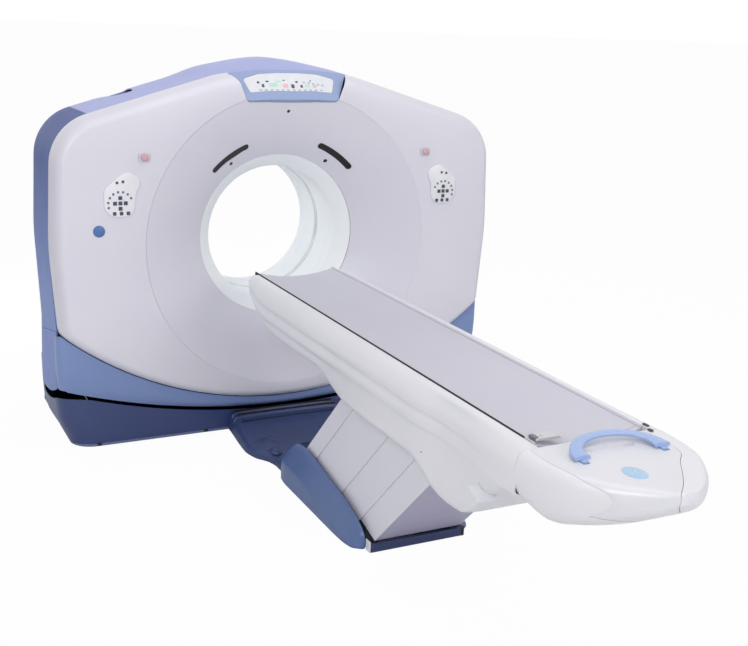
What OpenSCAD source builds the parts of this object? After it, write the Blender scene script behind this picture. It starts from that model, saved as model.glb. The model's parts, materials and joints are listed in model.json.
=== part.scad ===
// Tilting-gantry tomography scanner with a lifting, sliding patient table.
// Origin: on the floor under the isocentre, at the middle of the gantry's floor anchors.
// +X is right seen from the table, +Y runs through the bore to the rear, +Z is up.

/* [Gantry] */
// Height of the isocentre and of the tilt axis above the floor
iso_h = 1000; // [980:5:1200]
// Diameter of the patient bore
bore_d = 700; // [580:10:840]
// Half of the straight narrow length of the bore
tunnel_half = 235; // [200:5:280]
// Width over the gantry covers
gantry_w = 2344; // [1960:4:2820]
// Depth over the front and rear faces
gantry_depth = 1000; // [900:10:1200]
// Height of the top edge of the front cover above the isocentre
top_rise = 832; // [800:4:1000]
// Depth of the lowest point of the front cover below the isocentre
bottom_drop = 885; // [870:5:890]
// Extra height of the hump on the top cover
hump_h = 52; // [20:2:80]
// Outer radius of the grey funnel at the front face
funnel_r = 742; // [680:2:760]
// Wall of the moulded covers
cover_t = 6; // [4:1:8]
// Gap between the tilting covers and the fixed base
tilt_gap = 20; // [14:1:30]

/* [Rotor] */
// Outer radius of the rotor drum
rotor_r = 780; // [760:5:790]
// Radial room between the rotor and the funnel or covers
rotor_gap = 30; // [20:5:40]

/* [Controls] */
// Distance of each control pad from the middle of the gantry
pad_x = 861; // [830:1:900]
// Height of the control pads above the isocentre
pad_z = 228; // [200:1:260]
// Side of an arrow key
key_size = 17; // [14:1:20]
// Pitch of the arrow keys
key_pitch = 25; // [23:1:27]
// Travel of an arrow key
key_travel = 1.5; // [1:0.5:2.5]
// Radius of the emergency stop's head
stop_r = 16; // [13:1:18]
// Travel of the emergency stop
stop_travel = 4; // [2:0.5:4.5]

/* [Table] */
// Height of the cradle's edges above the floor
cradle_top = 868; // [860:2:960]
// Width of the cradle
cradle_w = 418; // [360:2:440]
// Length of the cradle
cradle_len = 2440; // [2040:20:2460]
// Depth of the cradle's hollow
cradle_dip = 28; // [10:2:34]
// Clearance of the cradle in its channel
cradle_gap = 5; // [3:1:8]
// Length of each lift arm between its pivots
arm_len = 600; // [560:10:640]
// Radius of the lift pivots
pivot_r = 20; // [16:1:24]
// Running clearance of every shaft in its bore
run_gap = 0.05; // [0.02:0.01:0.1]
// Width of the two slats at the foot's end, across their length
slat_w = 195; // [185:1:200]
// Thickness of a slat
slat_t = 3; // [2:0.5:3.5]
// Half width of the table foot
foot_hw = 290; // [280:2:350]

/* [Hidden] */
$fn = 48;

half_w = gantry_w / 2;
half_d = gantry_depth / 2;
bore_r = bore_d / 2;
rim_y = half_d - 120;      // the covers' rims, before and behind the tilt axis
edge_in = 55;              // how far the rounded rim comes in
kx = half_w / 1172;        // the outline's shape stretches with the width
// Behind the tilt axis the covers draw in toward the rear at the sides and on top: where that starts,
// and how fast they do
taper_y = 40;
taper = 0.24;
steel = "dimgray";
white = "gainsboro";
dark_blue = "#343f68";
mid_blue = "#6c7dab";
sky_blue = "#8fa3cf";

// ---------- shared helpers ----------

// Extrudes a (y, z) outline from x0 to x1
module along_x(x0, x1) {
    translate([x0, 0, 0]) rotate([90, 0, 90]) linear_extrude(x1 - x0) children();
}

// Extrudes an (x, z) outline from y0 to y1
module along_y(y0, y1) {
    translate([0, y1, 0]) rotate([90, 0, 0]) linear_extrude(y1 - y0) children();
}

// Turns a profile of [radius, -y] about the bore's axis; angles run from +X towards +Z
module about_bore() {
    translate([0, 0, iso_h]) rotate([90, 0, 0]) children();
}

// A ring about the bore's axis
module bore_ring(r_in, r_out, y0, y1) {
    about_bore() rotate_extrude($fn = 96) translate([r_in, -y1]) square([r_out - r_in, y1 - y0]);
}

function back(list) = [for (i = [len(list) - 1:-1:0]) list[i]];

// A closed skin over sections of equal length; loop joins the last section to the first. The sections
// run clockwise seen from the end of the list. The sections of a wall run out along its outer side and
// back along its inner one, point for point
module skin(sections, loop = false, wall = false) {
    n = len(sections);
    m = len(sections[0]);
    last = loop ? n : n - 1;
    sides = [for (i = [0:last - 1], j = [0:m - 1], k = [0, 1])
        let (a = i * m, b = ((i + 1) % n) * m, q = (j + 1) % m)
        k == 0 ? [a + j, b + j, b + q] : [a + j, b + q, a + q]];
    start = wall ? [for (j = [0:m / 2 - 2]) [j, j + 1, m - 2 - j, m - 1 - j]] : [[for (j = [0:m - 1]) j]];
    end = [for (f = start) [for (j = back(f)) (n - 1) * m + j]];
    polyhedron([for (s = sections) each s], loop ? sides : concat(sides, start, end));
}

// Rounds each corner of a closed outline of [x, z, radius]
function rounded(pts, n = 4) = [for (i = [0:len(pts) - 1])
    let (p = pts[i], a = pts[(i + len(pts) - 1) % len(pts)], b = pts[(i + 1) % len(pts)],
         u = unit([a.x - p.x, a.y - p.y]), v = unit([b.x - p.x, b.y - p.y]),
         half = acos(u * v) / 2, t = p.z / tan(half), c = [p.x, p.y] + unit(u + v) * p.z / sin(half),
         s = [p.x, p.y] + u * t - c, e = [p.x, p.y] + v * t - c,
         turn = (s.x * e.y - s.y * e.x > 0 ? 1 : -1) * (180 - 2 * half))
    each p.z == 0 ? [[p.x, p.y]] : [for (k = [0:n]) c + rot2(s, turn * k / n)]];

function unit(v) = v / norm(v);
function rot2(v, a) = [v.x * cos(a) - v.y * sin(a), v.x * sin(a) + v.y * cos(a)];
// Adds the mirror image of a right half, keeping each corner's radius
function mirrored(half) = concat(half, [for (i = [len(half) - 1:-1:0])
    let (p = half[i]) len(p) > 2 ? [-p.x, p.y, p.z] : [-p.x, p.y]]);

// Outward normals of a closed outline that runs clockwise seen from the front
function normals(pts) = [for (i = [0:len(pts) - 1])
    let (a = pts[(i + len(pts) - 1) % len(pts)], b = pts[(i + 1) % len(pts)], d = unit(b - a))
    [-d.y, d.x]];

// Straight-line interpolation in a list of [key, value, ...] rows with falling keys
function at(rows, k, col = 1) = let (i = max([for (j = [0:len(rows) - 2]) rows[j][0] >= k ? j : 0]),
    f = (rows[i][0] - k) / (rows[i][0] - rows[i + 1][0]))
    rows[i][col] + min(1, max(0, f)) * (rows[i + 1][col] - rows[i][col]);

// ---------- gantry outline, relative to the isocentre ----------

// Height of the tilting covers' bottom edge at x
function bottom_z(x) = -bottom_drop + 202 * pow(x / half_w, 2);
// Radius about the tilt axis that everything on the tilting gantry stays within at x
function sweep_r(x) = norm([rim_y, bottom_z(min(abs(x), half_w))]) + 8;
// How far the covers' sides have drawn in at depth y, and the share of the full width left there
function tuck(y) = taper * max(0, y - taper_y);
function narrow(y) = 1 - tuck(y) / half_w;
// An outline's point [x, z] about the tilt axis, drawn in as it is at depth y
function drawn_in(p, y) = [p.x * narrow(y), p.y * (p.y > 0 ? narrow(y) : 1)];
// Height of the fixed base's top edge at x, y
function base_top(x, y) = iso_h - sqrt(max(1, pow(sweep_r(x) + tilt_gap, 2) - y * y));

// The arc where the white cover meets the blue lower cover
arc_r = 1766 * kx;
arc_low = bottom_drop - 50;
function arc_z(x) = arc_r - arc_low - sqrt(max(1, arc_r * arc_r - x * x));

corner_x = half_w - 24;
corner_z = arc_z(corner_x);
upper_half = [[330 * kx, top_rise - 10, 420], [half_w - 22, top_rise - 255, 250], [half_w + 3, 20, 1500]];
corner_round = 72;
white_corner = [corner_x - 2, corner_z, corner_round];
corner_next = corner_x - 60;
function upper_round(n) = rounded(concat(upper_half, [white_corner, [corner_next, arc_z(corner_next), 0],
    [-half_w, 20, 0], [-half_w + 22, top_rise - 255, 0], [-330 * kx, top_rise - 10, 0]]), n);
// right half of the white outline, from the top shoulder down and in along the arc
right_side = [for (p = upper_round(5)) if (p.x > 0) p];
arc_steps = 8;
white_half = concat([[0, top_rise + 3]], right_side,
    [for (i = [arc_steps:-1:1]) let (x = corner_next * i / (arc_steps + 0.4)) [x, arc_z(x)]],
    [[0, arc_z(0)]]);
white_outline = [for (i = [0:2 * len(white_half) - 3])
    i < len(white_half) ? white_half[i] : let (p = white_half[2 * len(white_half) - 2 - i]) [-p.x, p.y]];

// ---------- front and rear covers ----------

edge_n = 4;
function rim_pt(p, n, inset, y) = [p.x - n.x * inset, y, iso_h + p.y - n.y * inset];
function hole_pt(p, r, y) = let (a = atan2(p.y, p.x)) [r * cos(a), y, iso_h + r * sin(a)];

// Section of a face cover at outline point p; face is -1 at the front and 1 at the rear
function face_section(p, n, face) = concat(
    [for (k = [0:edge_n]) let (a = 90 * k / edge_n)
        rim_pt(p, n, edge_in * (1 - cos(a)), face * (rim_y + (half_d - rim_y) * sin(a)))],
    [hole_pt(p, funnel_r - 40, face * half_d), hole_pt(p, funnel_r - 40, face * (half_d - cover_t))],
    [for (k = [edge_n:-1:0]) let (a = 90 * k / edge_n)
        rim_pt(p, n, edge_in * (1 - cos(a)) + cover_t,
            face * (rim_y + (half_d - rim_y - (k == 0 ? 0 : cover_t)) * sin(a)))]);

module face_cover(outline, face) {
    n = normals(outline);
    difference() {
        let (rows = [for (i = [0:len(outline) - 1]) face_section(outline[i], n[i], face)])
            skin(face > 0 ? back(rows) : rows, loop = true);
        bore_ring(funnel_r - 100, funnel_r, face * half_d - 20, face * half_d + 20);
    }
}

// The display frame leans back in the front cover's top edge: (x, distance up the slope)
frame_low = top_rise - 135;
frame_lean = 35;
frame_len = 174;
frame_t = 26;
module on_slope() {
    translate([0, -half_d - 4, iso_h + frame_low]) rotate([90 - frame_lean, 0, 0]) children();
}
function frame_outline(grow) = rounded(mirrored([
    [60, frame_len + 2 + grow, 0], [160, frame_len - 2 + grow, 0], [312 + grow, frame_len - 18 + grow, 8],
    [238 + grow, -grow, 24]]), 4);

module front_cover() {
    color(white) difference() {
        face_cover(white_outline, -1);
        on_slope() translate([0, 0, -70]) linear_extrude(170) polygon(frame_outline(1));
    }
}

rear_low = [for (x = [1:-0.2:0]) let (q = x * (half_w - 60)) [q, bottom_z(q) + 4]];
rear_half = concat([[0, top_rise + 3]], [for (p = right_side) if (p.y > corner_z + 20) p],
    [[corner_x + 4, corner_z - 40], [corner_x + 8, bottom_z(half_w) + 60]], rear_low);
rear_outline = [for (i = [0:2 * len(rear_half) - 3])
    let (m = i < len(rear_half), p = drawn_in(rear_half[m ? i : 2 * len(rear_half) - 2 - i], rim_y))
    [m ? p.x : -p.x, p.y]];

upright_x = half_w - 162;  // inner face of each tilt upright
upright_t = 50;
notch_top = iso_h - 365;   // top of the rear cover's clearance slots for the uprights

module rear_cover() {
    color(mid_blue) difference() {
        face_cover(rear_outline, 1);
        for (s = [0, 1]) mirror([s, 0, 0]) translate([upright_x - 18, rim_y - 20, 0])
            cube([half_w, half_d, notch_top]);
    }
}

// Plan path of the blue lower cover: straight front with rounded ends
lower_y = half_d - 55;
lower_corner = 48;
lower_path = concat([[-half_w + 8, -rim_y - 3, -1, 0]],
    [for (a = [180:-22.5:90]) [-half_w + 8 + lower_corner + lower_corner * cos(a),
        -lower_y + lower_corner - lower_corner * sin(a), cos(a), -sin(a)]],
    [for (i = [-5:5]) [i * (half_w - 62 - lower_corner) / 6, -lower_y, 0, -1]],
    [for (a = [90:-22.5:0]) [half_w - 8 - lower_corner + lower_corner * cos(a),
        -lower_y + lower_corner - lower_corner * sin(a), cos(a), -sin(a)]],
    [[half_w - 8, -rim_y - 3, 1, 0]]);

// Section of the lower cover at a path point [x, y, nx, ny]
function lower_section(p) = let (
    top = iso_h + min(arc_z(min(abs(p.x), corner_x)), corner_z) - 5, low = iso_h + bottom_z(p.x))
    [for (q = [[0, top], [0, low + 0.55 * (top - low)], [10, low + 0.25 * (top - low)], [34, low],
        [34 + cover_t, low], [10 + cover_t, low + 0.25 * (top - low)], [cover_t, low + 0.55 * (top - low)],
        [cover_t, top]])
        [p.x - p[2] * q.x * (abs(p[2]) > 0.5 ? 0.3 : 1), p.y - p[3] * q.x, q.y]];

module lower_front_cover() {
    color(mid_blue) skin([for (p = lower_path) lower_section(p)], wall = true);
}

// ---------- side and top covers ----------

// Bottom of the side covers at depth y, along a circle about the tilt axis
function side_low(y) = -sqrt(pow(sweep_r(half_w) - 8, 2) - y * y) + 4;
side_pts = [for (p = right_side) if (p.y > corner_z + 40 && p.x > 900 * kx) p];
shoulder = side_pts[0];
function side_contour(y, inset) = let (n = normals(concat([[0, top_rise]], side_pts, [[0, -top_rise]])))
    concat([for (i = [0:len(side_pts) - 1]) side_pts[i] - n[i + 1] * inset],
    [[corner_x + 5 - inset, corner_z - 10], [half_w - 10 - inset, side_low(y) + 60],
        [half_w - 16 - inset, side_low(y)]]);
side_end = rim_y - 4;
side_ys = [for (i = [-3:3]) i * side_end / 3];

module side_cover() {
    skin([for (y = side_ys) [for (q = concat(side_contour(y, 0), back(side_contour(y, cover_t))))
        let (p = drawn_in(q, y)) [p.x, y, iso_h + p.y]]], wall = true);
}

module side_covers() {
    color(sky_blue) {
        side_cover();
        mirror([1, 0, 0]) side_cover();
    }
}

// The top cover runs from shoulder to shoulder and rises in a hump
hump_half = 520;
function hump(x, y) = abs(x) > hump_half ? 0
    : hump_h * pow(cos(90 * x / hump_half), 2) * sin(90 * min(1, (rim_y - abs(y)) / (rim_y * 0.72)));
top_up = [for (p = white_half) if (p.y > shoulder.y + 1) p];
top_gap = 3;
top_x = concat(top_up, [shoulder + unit(top_up[len(top_up) - 1] - shoulder) * top_gap]);
top_line = concat([for (i = [len(top_x) - 1:-1:1]) [-top_x[i].x, top_x[i].y]], top_x);
function top_fine(n) = [for (i = [0:len(top_line) - 2], k = [0:n - 1])
    if (norm(top_line[i + 1] - top_line[i]) > 60 || k == 0)
    top_line[i] + (top_line[i + 1] - top_line[i]) * k / n];
top_pts = concat(top_fine(3), [top_line[len(top_line) - 1]]);
function top_normal(i) = let (d = unit(top_pts[min(len(top_pts) - 1, i + 1)] - top_pts[max(0, i - 1)]))
    [-d.y, d.x];

module top_cover() {
    color(sky_blue) translate([0, 0, iso_h]) skin([for (y = side_ys) concat(
        [for (q = top_pts) let (p = drawn_in(q, y)) [p.x, y, p.y + hump(q.x, y)]],
        [for (i = [len(top_pts) - 1:-1:0])
            let (q = top_pts[i], p = drawn_in(q - top_normal(i) * cover_t, y))
            [p.x, y, p.y + hump(q.x, y)]])], wall = true);
}

// ---------- bore ----------

// Flared wall from the face's opening to the straight bore, as [radius, depth from the tilt axis]
bell_a = [funnel_r - 1, half_d];
bell_b = [bore_r + 120, half_d - 100];
bell_c = [bore_r, tunnel_half];
function bell(t) = bell_a * pow(1 - t, 2) + bell_b * 2 * t * (1 - t) + bell_c * t * t;
function bell_slope(t) = unit((bell_b - bell_a) * (1 - t) + (bell_c - bell_b) * t);
bell_n = 8;
lip_t = 0.76;        // the grey funnel ends and the white bore lining begins here
function bell_line(off, t0, t1) = [for (k = [0:bell_n])
    let (t = t0 + (t1 - t0) * k / bell_n, d = bell_slope(t))
    bell(t) + [-d.y, d.x] * off];
// Alignment slots: radius, width and angles from the vertical
slot_t = 0.508;
slot_r = bell(slot_t).x;
slot_depth = bell(slot_t).y;
slot_w = 30;
slot_from = 23.5;
slot_to = 45.6;

// Outline of a slot along the ring: outer arc, rounded end, inner arc, rounded end
slot_n = 8;
function slot_outline(w) = concat(
    [for (k = [0:slot_n]) polar(slot_r + w / 2, 90 - slot_to + (slot_to - slot_from) * k / slot_n)],
    [for (k = [1:slot_n - 1]) polar(slot_r, 90 - slot_from)
        + polar(w / 2, 90 - slot_from + 180 * k / slot_n)],
    [for (k = [slot_n:-1:0]) polar(slot_r - w / 2, 90 - slot_to + (slot_to - slot_from) * k / slot_n)],
    [for (k = [1:slot_n - 1]) polar(slot_r, 90 - slot_to) + polar(w / 2, 270 - slot_to + 180 * k / slot_n)]);
function polar(r, a) = [r * cos(a), r * sin(a)];

// Both slots as prisms between two depths in front of the tilt axis
module slots(w, depth0, depth1) {
    for (s = [0, 1]) mirror([s, 0, 0]) translate([0, 0, depth0]) linear_extrude(depth1 - depth0)
        polygon(slot_outline(w));
}

// The funnel's flange ends just behind the face cover's edge
module funnel_shape() {
    rotate_extrude($fn = 96) polygon(concat(bell_line(0, 0, lip_t), back(bell_line(cover_t, 0.03, lip_t)),
        [[funnel_r - 1, half_d - cover_t - 2]]));
}
// White lining: the rest of the flare, then the straight bore up to the scan window
module lining_shape() {
    rotate_extrude($fn = 96) polygon(concat(bell_line(0, lip_t + 0.008, 1), [[bore_r, window_half + 0.5],
        [bore_r + cover_t, window_half + 0.5]], back(bell_line(cover_t, lip_t + 0.008, 1))));
}

module front_funnel() {
    color("lightgray") about_bore() difference() {
        funnel_shape();
        slots(slot_w, slot_depth - 50, slot_depth + 50);
        rotate([-90, 0, 0]) translate([0, 0, -iso_h]) on_slope() translate([0, 0, -frame_t - 2])
            linear_extrude(120) polygon(frame_outline(1));
    }
}

module rear_funnel() {
    color("lightgray") about_bore() mirror([0, 0, 1]) funnel_shape();
}

module alignment_windows() {
    color("black") about_bore() slots(slot_w - 1, slot_depth - 10, slot_depth - 5);
}

window_half = 20;
module bore_tube() {
    color("whitesmoke") about_bore() {
        lining_shape();
        mirror([0, 0, 1]) lining_shape();
    }
}

module scan_window() {
    color("lightcyan") bore_ring(bore_r + 1, bore_r + 4, -window_half, window_half);
}

// ---------- tilt frame and rotor ----------

frame_y0 = 120;
frame_y1 = 180;
rotor_in = bore_r + cover_t + rotor_gap;
bearing_in = rotor_in + 24;
trunnion_r = 45;
arm_z = 110;
arm_in = rotor_r + rotor_gap + 12;
arm_out = upright_x - 22;

module tilt_frame() {
    color(steel) difference() {
        union() {
            bore_ring(bearing_in + 4, rotor_r + 20, frame_y0, frame_y1);
            for (s = [-1, 1]) {
                translate([s > 0 ? arm_in : -arm_out, -70, iso_h - arm_z])
                    cube([arm_out - arm_in, frame_y1 + 70, 2 * arm_z]);
                translate([s * (arm_in - 30), frame_y0, iso_h - arm_z])
                    translate([s > 0 ? 0 : -50, 0, 0]) cube([50, frame_y1 - frame_y0, 2 * arm_z]);
                translate([s * (arm_out - 10), 0, iso_h]) rotate([0, s * 90, 0])
                    cylinder(r = trunnion_r, h = upright_x + upright_t + 20 - arm_out);
            }
        }
        for (a = [0:30:330]) about_bore() rotate([0, 0, a]) translate([bearing_in + 90, 0, -frame_y1 - 1])
            cylinder(r = 7, h = frame_y1 - frame_y0 + 2);
    }
}

module main_bearing() {
    color("silver") bore_ring(bearing_in + 6, bearing_in + 60, frame_y0 - 40, frame_y0);
}

drum_y0 = -200;
drum_y1 = frame_y0 - 45;
plate_y0 = drum_y1 - 25;
hub_gap = 1;
module rotor_drum() {
    color("lightslategray") difference() {
        union() {
            bore_ring(rotor_in, rotor_r, plate_y0, drum_y1);
            bore_ring(rotor_r - 12, rotor_r, drum_y0, plate_y0);
            bore_ring(rotor_in, rotor_in + 12, drum_y0 + 60, plate_y0);
            bore_ring(rotor_in + 6, bearing_in + 6 - hub_gap, drum_y1, frame_y0 - 10);
        }
        for (a = [22.5:45:337.5]) about_bore() rotate([0, 0, a]) translate([rotor_r - 90, 0, -drum_y1 - 1])
            cylinder(r = 40, h = 30);
    }
}

// Outer radius of the slip ring, inside which the units on the drum plate don't reach
ring_out = rotor_in + 80;
// The tube housing hangs on the drum plate with its beam towards the bore
beam_box = 130;
tube_at = ring_out + 20 + beam_box;
module xray_tube() {
    color("silver") translate([0, plate_y0 - 0.5, iso_h + tube_at]) {
        translate([0, -215, 0]) rotate([-90, 0, 0]) cylinder(r = 88, h = 215);
        translate([-130, -150, -60]) cube([260, 150, 110]);
        translate([-55, -140, -beam_box]) cube([110, 120, 80]);
    }
}

module detector_arc() {
    color("darkslategray") about_bore() rotate([0, 0, 270 - 29])
        rotate_extrude(angle = 58, $fn = 96) translate([tube_at - 30, -plate_y0 + 5]) square([95, 130]);
}

generator_w = 190;
module generator() {
    color("slategray") for (s = [-1, 1])
        translate([s * (ring_out + 45 + generator_w / 2) - generator_w / 2, plate_y0 - 205, iso_h - 130])
            cube([generator_w, 204, 260]);
}

module slip_ring() {
    color("peru") difference() {
        bore_ring(rotor_in + 20, ring_out, drum_y0 + 20, drum_y0 + 55);
        for (k = [0:2]) bore_ring(rotor_in + 30 + k * 16, rotor_in + 36 + k * 16, drum_y0 + 10, drum_y0 + 26);
    }
    for (a = [45:90:315]) color("peru") about_bore() rotate([0, 0, a])
        translate([rotor_in + 50, 0, -plate_y0 + 0.2]) cylinder(r = 8, h = -drum_y0 - 55 + plate_y0 - 0.2);
}

// ---------- display, pads and stops ----------

panel_t = 4;
function window_outline(grow) = rounded(mirrored([[60, frame_len - 18 + grow, 0],
    [150, frame_len - 24 + grow, 0],
    [240 + grow, frame_len - 52 + grow, 14], [214 + grow, 48 - grow, 10]]), 4);
module display_frame() {
    color(sky_blue) on_slope() difference() {
        translate([0, 0, -frame_t]) linear_extrude(frame_t) polygon(frame_outline(0));
        translate([0, 0, -panel_t]) linear_extrude(panel_t + 1) polygon(window_outline(0.4));
    }
}

module display_panel() {
    color("honeydew") on_slope() translate([0, 0, -panel_t]) linear_extrude(panel_t)
        polygon(window_outline(0));
}

pad_t = 7;
key_gap = 0.4;
face_y = -half_d;
// Positions of the arrow keys: in and out point along X, towards and away from the bore
key_places = [[0, key_pitch], [0, -key_pitch], [-key_pitch, 0], [key_pitch, 0], [0, 0]];
pad_outline = rounded([[-74, 66, 40], [-76, -64, 62], [70, -66, 56], [74, 40, 90], [108, 108, 40],
    [30, 150, 50]], 4);

// One pad; s is -1 for the left pad and 1 for the right, and the lobe leans to the bore
module pad_place(s) {
    translate([s * pad_x, face_y, iso_h + pad_z]) mirror([s > 0 ? 1 : 0, 0, 0]) children();
}

module control_pads() {
    color(white) for (s = [-1, 1]) pad_place(s) difference() {
        along_y(-pad_t, 0) polygon(pad_outline);
        for (p = key_places) translate([p.x, -pad_t - 1, p.y])
            translate([-1, 0, -1] * (key_size / 2 + key_gap))
            cube([key_size + 2 * key_gap, pad_t - 1.5, key_size + 2 * key_gap]);
    }
}

module pad_key(s, place) {
    color("#40445c") pad_place(s) translate([place.x, -pad_t - 2.5, place.y])
        translate([-key_size / 2, 0, -key_size / 2]) cube([key_size, pad_t - 1.5 + 1 - key_travel, key_size]);
}

stop_x = 743;
stop_z = 439;
plate_w = 56;
plate_h = 44;
plate_t = 7;
module stop_plates() {
    color("lightgray") for (s = [-1, 1]) translate([s * stop_x, face_y, iso_h + stop_z]) difference() {
        along_y(-plate_t, 0) polygon(rounded([[-plate_w / 2, plate_h / 2, 12],
            [-plate_w / 2, -plate_h / 2, 12],
            [plate_w / 2, -plate_h / 2, 12], [plate_w / 2, plate_h / 2, 12]], 4));
        translate([0, 1, 0]) rotate([90, 0, 0]) cylinder(r = stop_r / 2 + key_gap, h = plate_t + 2);
    }
}

module stop_button(s) {
    color("indianred") translate([s * stop_x, face_y, iso_h + stop_z]) rotate([90, 0, 0]) {
        translate([0, 0, stop_travel + 0.5]) cylinder(r = stop_r / 2, h = plate_t + 3);
        translate([0, 0, plate_t + stop_travel + 0.5]) rotate_extrude() polygon([[0, 0], [stop_r - 2, 0],
            [stop_r, 2], [stop_r, 6], [stop_r - 4, 9], [0, 10]]);
    }
}

// ---------- fixed gantry base ----------

beam_x0 = upright_x - 30;
beam_x1 = half_w - 94;
floor_t = 20;
side_beam_top = base_top(beam_x0, 0) - 6;
side_y0 = -rim_y + 50;
side_y1 = rim_y + 40;
anchor_x = (beam_x0 + beam_x1) / 2;
anchor_y = 290;
anchor_r = 9;
screw_r = 8;
screw_y = anchor_y - 50;

module gantry_base_frame() {
    color("#3c4250") difference() {
        union() {
            for (s = [-1, 1]) {
                translate([s > 0 ? beam_x0 : -beam_x1, side_y0, 0])
                    cube([beam_x1 - beam_x0, side_y1 - side_y0, floor_t]);
                for (x = [beam_x0, beam_x1 - 16]) translate([s > 0 ? x : -x - 16, side_y0, floor_t])
                    cube([16, side_y1 - side_y0, side_beam_top - floor_t]);
            }
            for (y = [side_y0, side_y1 - 60]) translate([-beam_x0, y, 10])
                cube([2 * beam_x0, 60, min(52, base_top(0, side_y0 + 60) - 18)]);
        }
        for (s = [-1, 1], y = [-anchor_y, anchor_y]) translate([s * anchor_x, y, -1])
            cylinder(r = anchor_r, h = floor_t + 2);
        for (s = [-1, 1], y = [-screw_y, screw_y]) translate([s * anchor_x, y, -1])
            cylinder(r = screw_r, h = floor_t + 2);
    }
}

module levelling_screws() {
    color("silver") for (s = [-1, 1], y = [-screw_y, screw_y]) translate([s * anchor_x, y, 0]) {
        cylinder(r = screw_r - 0.2, h = floor_t + 14);
        translate([0, 0, floor_t + 0.2]) cylinder(r = 13, h = 7, $fn = 6);
    }
}

// Each upright is slender where the tilting covers pass it, and wide round the trunnion
neck_y0 = 62;
neck_y1 = 148;
bearing_r = trunnion_r + 28;
upright_outline = [[-140, floor_t], [210, floor_t], [210, side_beam_top - 4],
    [neck_y1, side_beam_top - 4], [neck_y1, 400], [170, 520], [190, iso_h - 90], [130, iso_h + 110],
    [-130, iso_h + 110], [-150, iso_h - 90], [-90, iso_h - 330], [neck_y0, 400], [neck_y0, side_beam_top - 4],
    [-140, side_beam_top - 4]];
module tilt_uprights() {
    color("#3c4250") for (s = [-1, 1]) difference() {
        along_x(s > 0 ? upright_x : -upright_x - upright_t, s > 0 ? upright_x + upright_t : -upright_x)
            polygon(upright_outline);
        translate([s * (upright_x - 1), 0, iso_h]) rotate([0, s * 90, 0])
            cylinder(r = bearing_r, h = upright_t + 2);
    }
}

module trunnion_bearings() {
    color("silver") for (s = [-1, 1]) translate([s * upright_x, 0, iso_h]) rotate([0, s * 90, 0])
        difference() {
            cylinder(r = bearing_r, h = upright_t);
            translate([0, 0, -1]) cylinder(r = trunnion_r + run_gap, h = upright_t + 2);
        }
}

// A flat right-angle gear unit on the outside of the left upright drives the trunnion
module tilt_gearmotor() {
    gear_x = upright_x + upright_t;
    color("slategray") translate([-gear_x, 0, iso_h]) difference() {
        union() {
            rotate([0, -90, 0]) cylinder(r = 100, h = 52);
            translate([-52, 0, -60]) cube([52, 190, 120]);
            translate([-26, 60, 60]) cylinder(r = 26, h = 150);
        }
        translate([1, 0, 0]) rotate([0, -90, 0]) cylinder(r = trunnion_r + run_gap, h = 26);
    }
}

// Wall of the base covers at a plan point [x, y, nx, ny]: flares out to the sides and stops below
// the swept circle of the tilting covers
base_lift = 3;
base_hw = half_w - 82;
base_front = -half_d + 90;
base_back = half_d;
base_round = 110;
flare = 66;
flare_min = 8;    // what is left of the flare at the rear
function base_section(p) = let (
    out = max(flare_min, flare - tuck(p.y)) * pow(p[2], 2),
    top = min(base_top(min(half_w, abs(p.x) + out), p.y) - 2, 262), mid = top * 0.55)
    [for (q = [[0, base_lift], [0.12, 0.22 * mid], [0.8, mid], [1, top], [1, top, 1], [0.8, mid, 1],
        [0.12, 0.22 * mid, 1], [0, base_lift, 1]])
        let (o = out * q[0] - (len(q) > 2 ? cover_t : 0)) [p.x + p[2] * o, p.y + p[3] * o, q[1]]];
function plan_arc(cx, cy, r, a0, a1, n) = [for (k = [0:n]) let (a = a0 + (a1 - a0) * k / n)
    [cx + r * cos(a), cy + r * sin(a), cos(a), sin(a)]];
function plan_line(a, b, n, nrm) = [for (k = [0:n]) let (p = a + (b - a) * k / n) [p.x, p.y, nrm.x, nrm.y]];
base_cx = base_hw - base_round;
seam = 1;
module base_wall(plan) {
    skin(back([for (p = plan) base_section(p)]), wall = true);
}

// Dark apron under the tilting covers, from a base cover's top edge down to the middle of the gantry
apron_t = 3;
apron_drop = 6;
apron_x = beam_x0 - 6;
apron_n = 24;
apron_rows = 6;
module apron(y_edge, y_mid) {
    function row(x, lift) = [for (k = [0:apron_rows]) let (y = y_edge + (y_mid - y_edge) * k / apron_rows)
        [x, y, max(lift, base_top(x, y) + lift - apron_drop)]];
    rows = [for (i = [0:apron_n]) let (x = (apron_x + 20) * (2 * i / apron_n - 1))
        concat(row(x, apron_t), back(row(x, 0)))];
    intersection() {
        skin(y_edge < y_mid ? back(rows) : rows, wall = true);
        translate([-apron_x, -half_d, 0]) cube([2 * apron_x, 2 * half_d, 400]);
    }
}

module base_front_cover() {
    color(dark_blue) {
        base_wall(concat(
            plan_arc(-base_cx, base_front + base_round, base_round, 180 + seam, 270, 5),
            plan_line([-base_cx, base_front], [base_cx, base_front], 12, [0, -1]),
            plan_arc(base_cx, base_front + base_round, base_round, 270, 360 - seam, 5)));
        apron(base_front + 2, -1);
    }
}

module base_side_covers() {
    color(dark_blue) for (s = [-1, 1]) mirror([s > 0 ? 1 : 0, 0, 0])
        base_wall(plan_line([-base_hw, base_back - base_round - 2], [-base_hw, base_front + base_round + 2],
            8, [-1, 0]));
}

module base_rear_cover() {
    color(dark_blue) {
        base_wall(concat(
            plan_arc(base_cx, base_back - base_round, base_round, seam, 90, 5),
            plan_line([base_cx, base_back], [-base_cx, base_back], 12, [0, 1]),
            plan_arc(-base_cx, base_back - base_round, base_round, 90, 180 - seam, 5)));
        apron(base_back - 2, 1);
    }
}

// ---------- bridge and table base ----------

bridge_hw = 300;
foot_y0 = -1054;
foot_y1 = -1905;
bridge_y0 = base_front - 6;
bridge_y1 = foot_y0 + 8;
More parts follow.
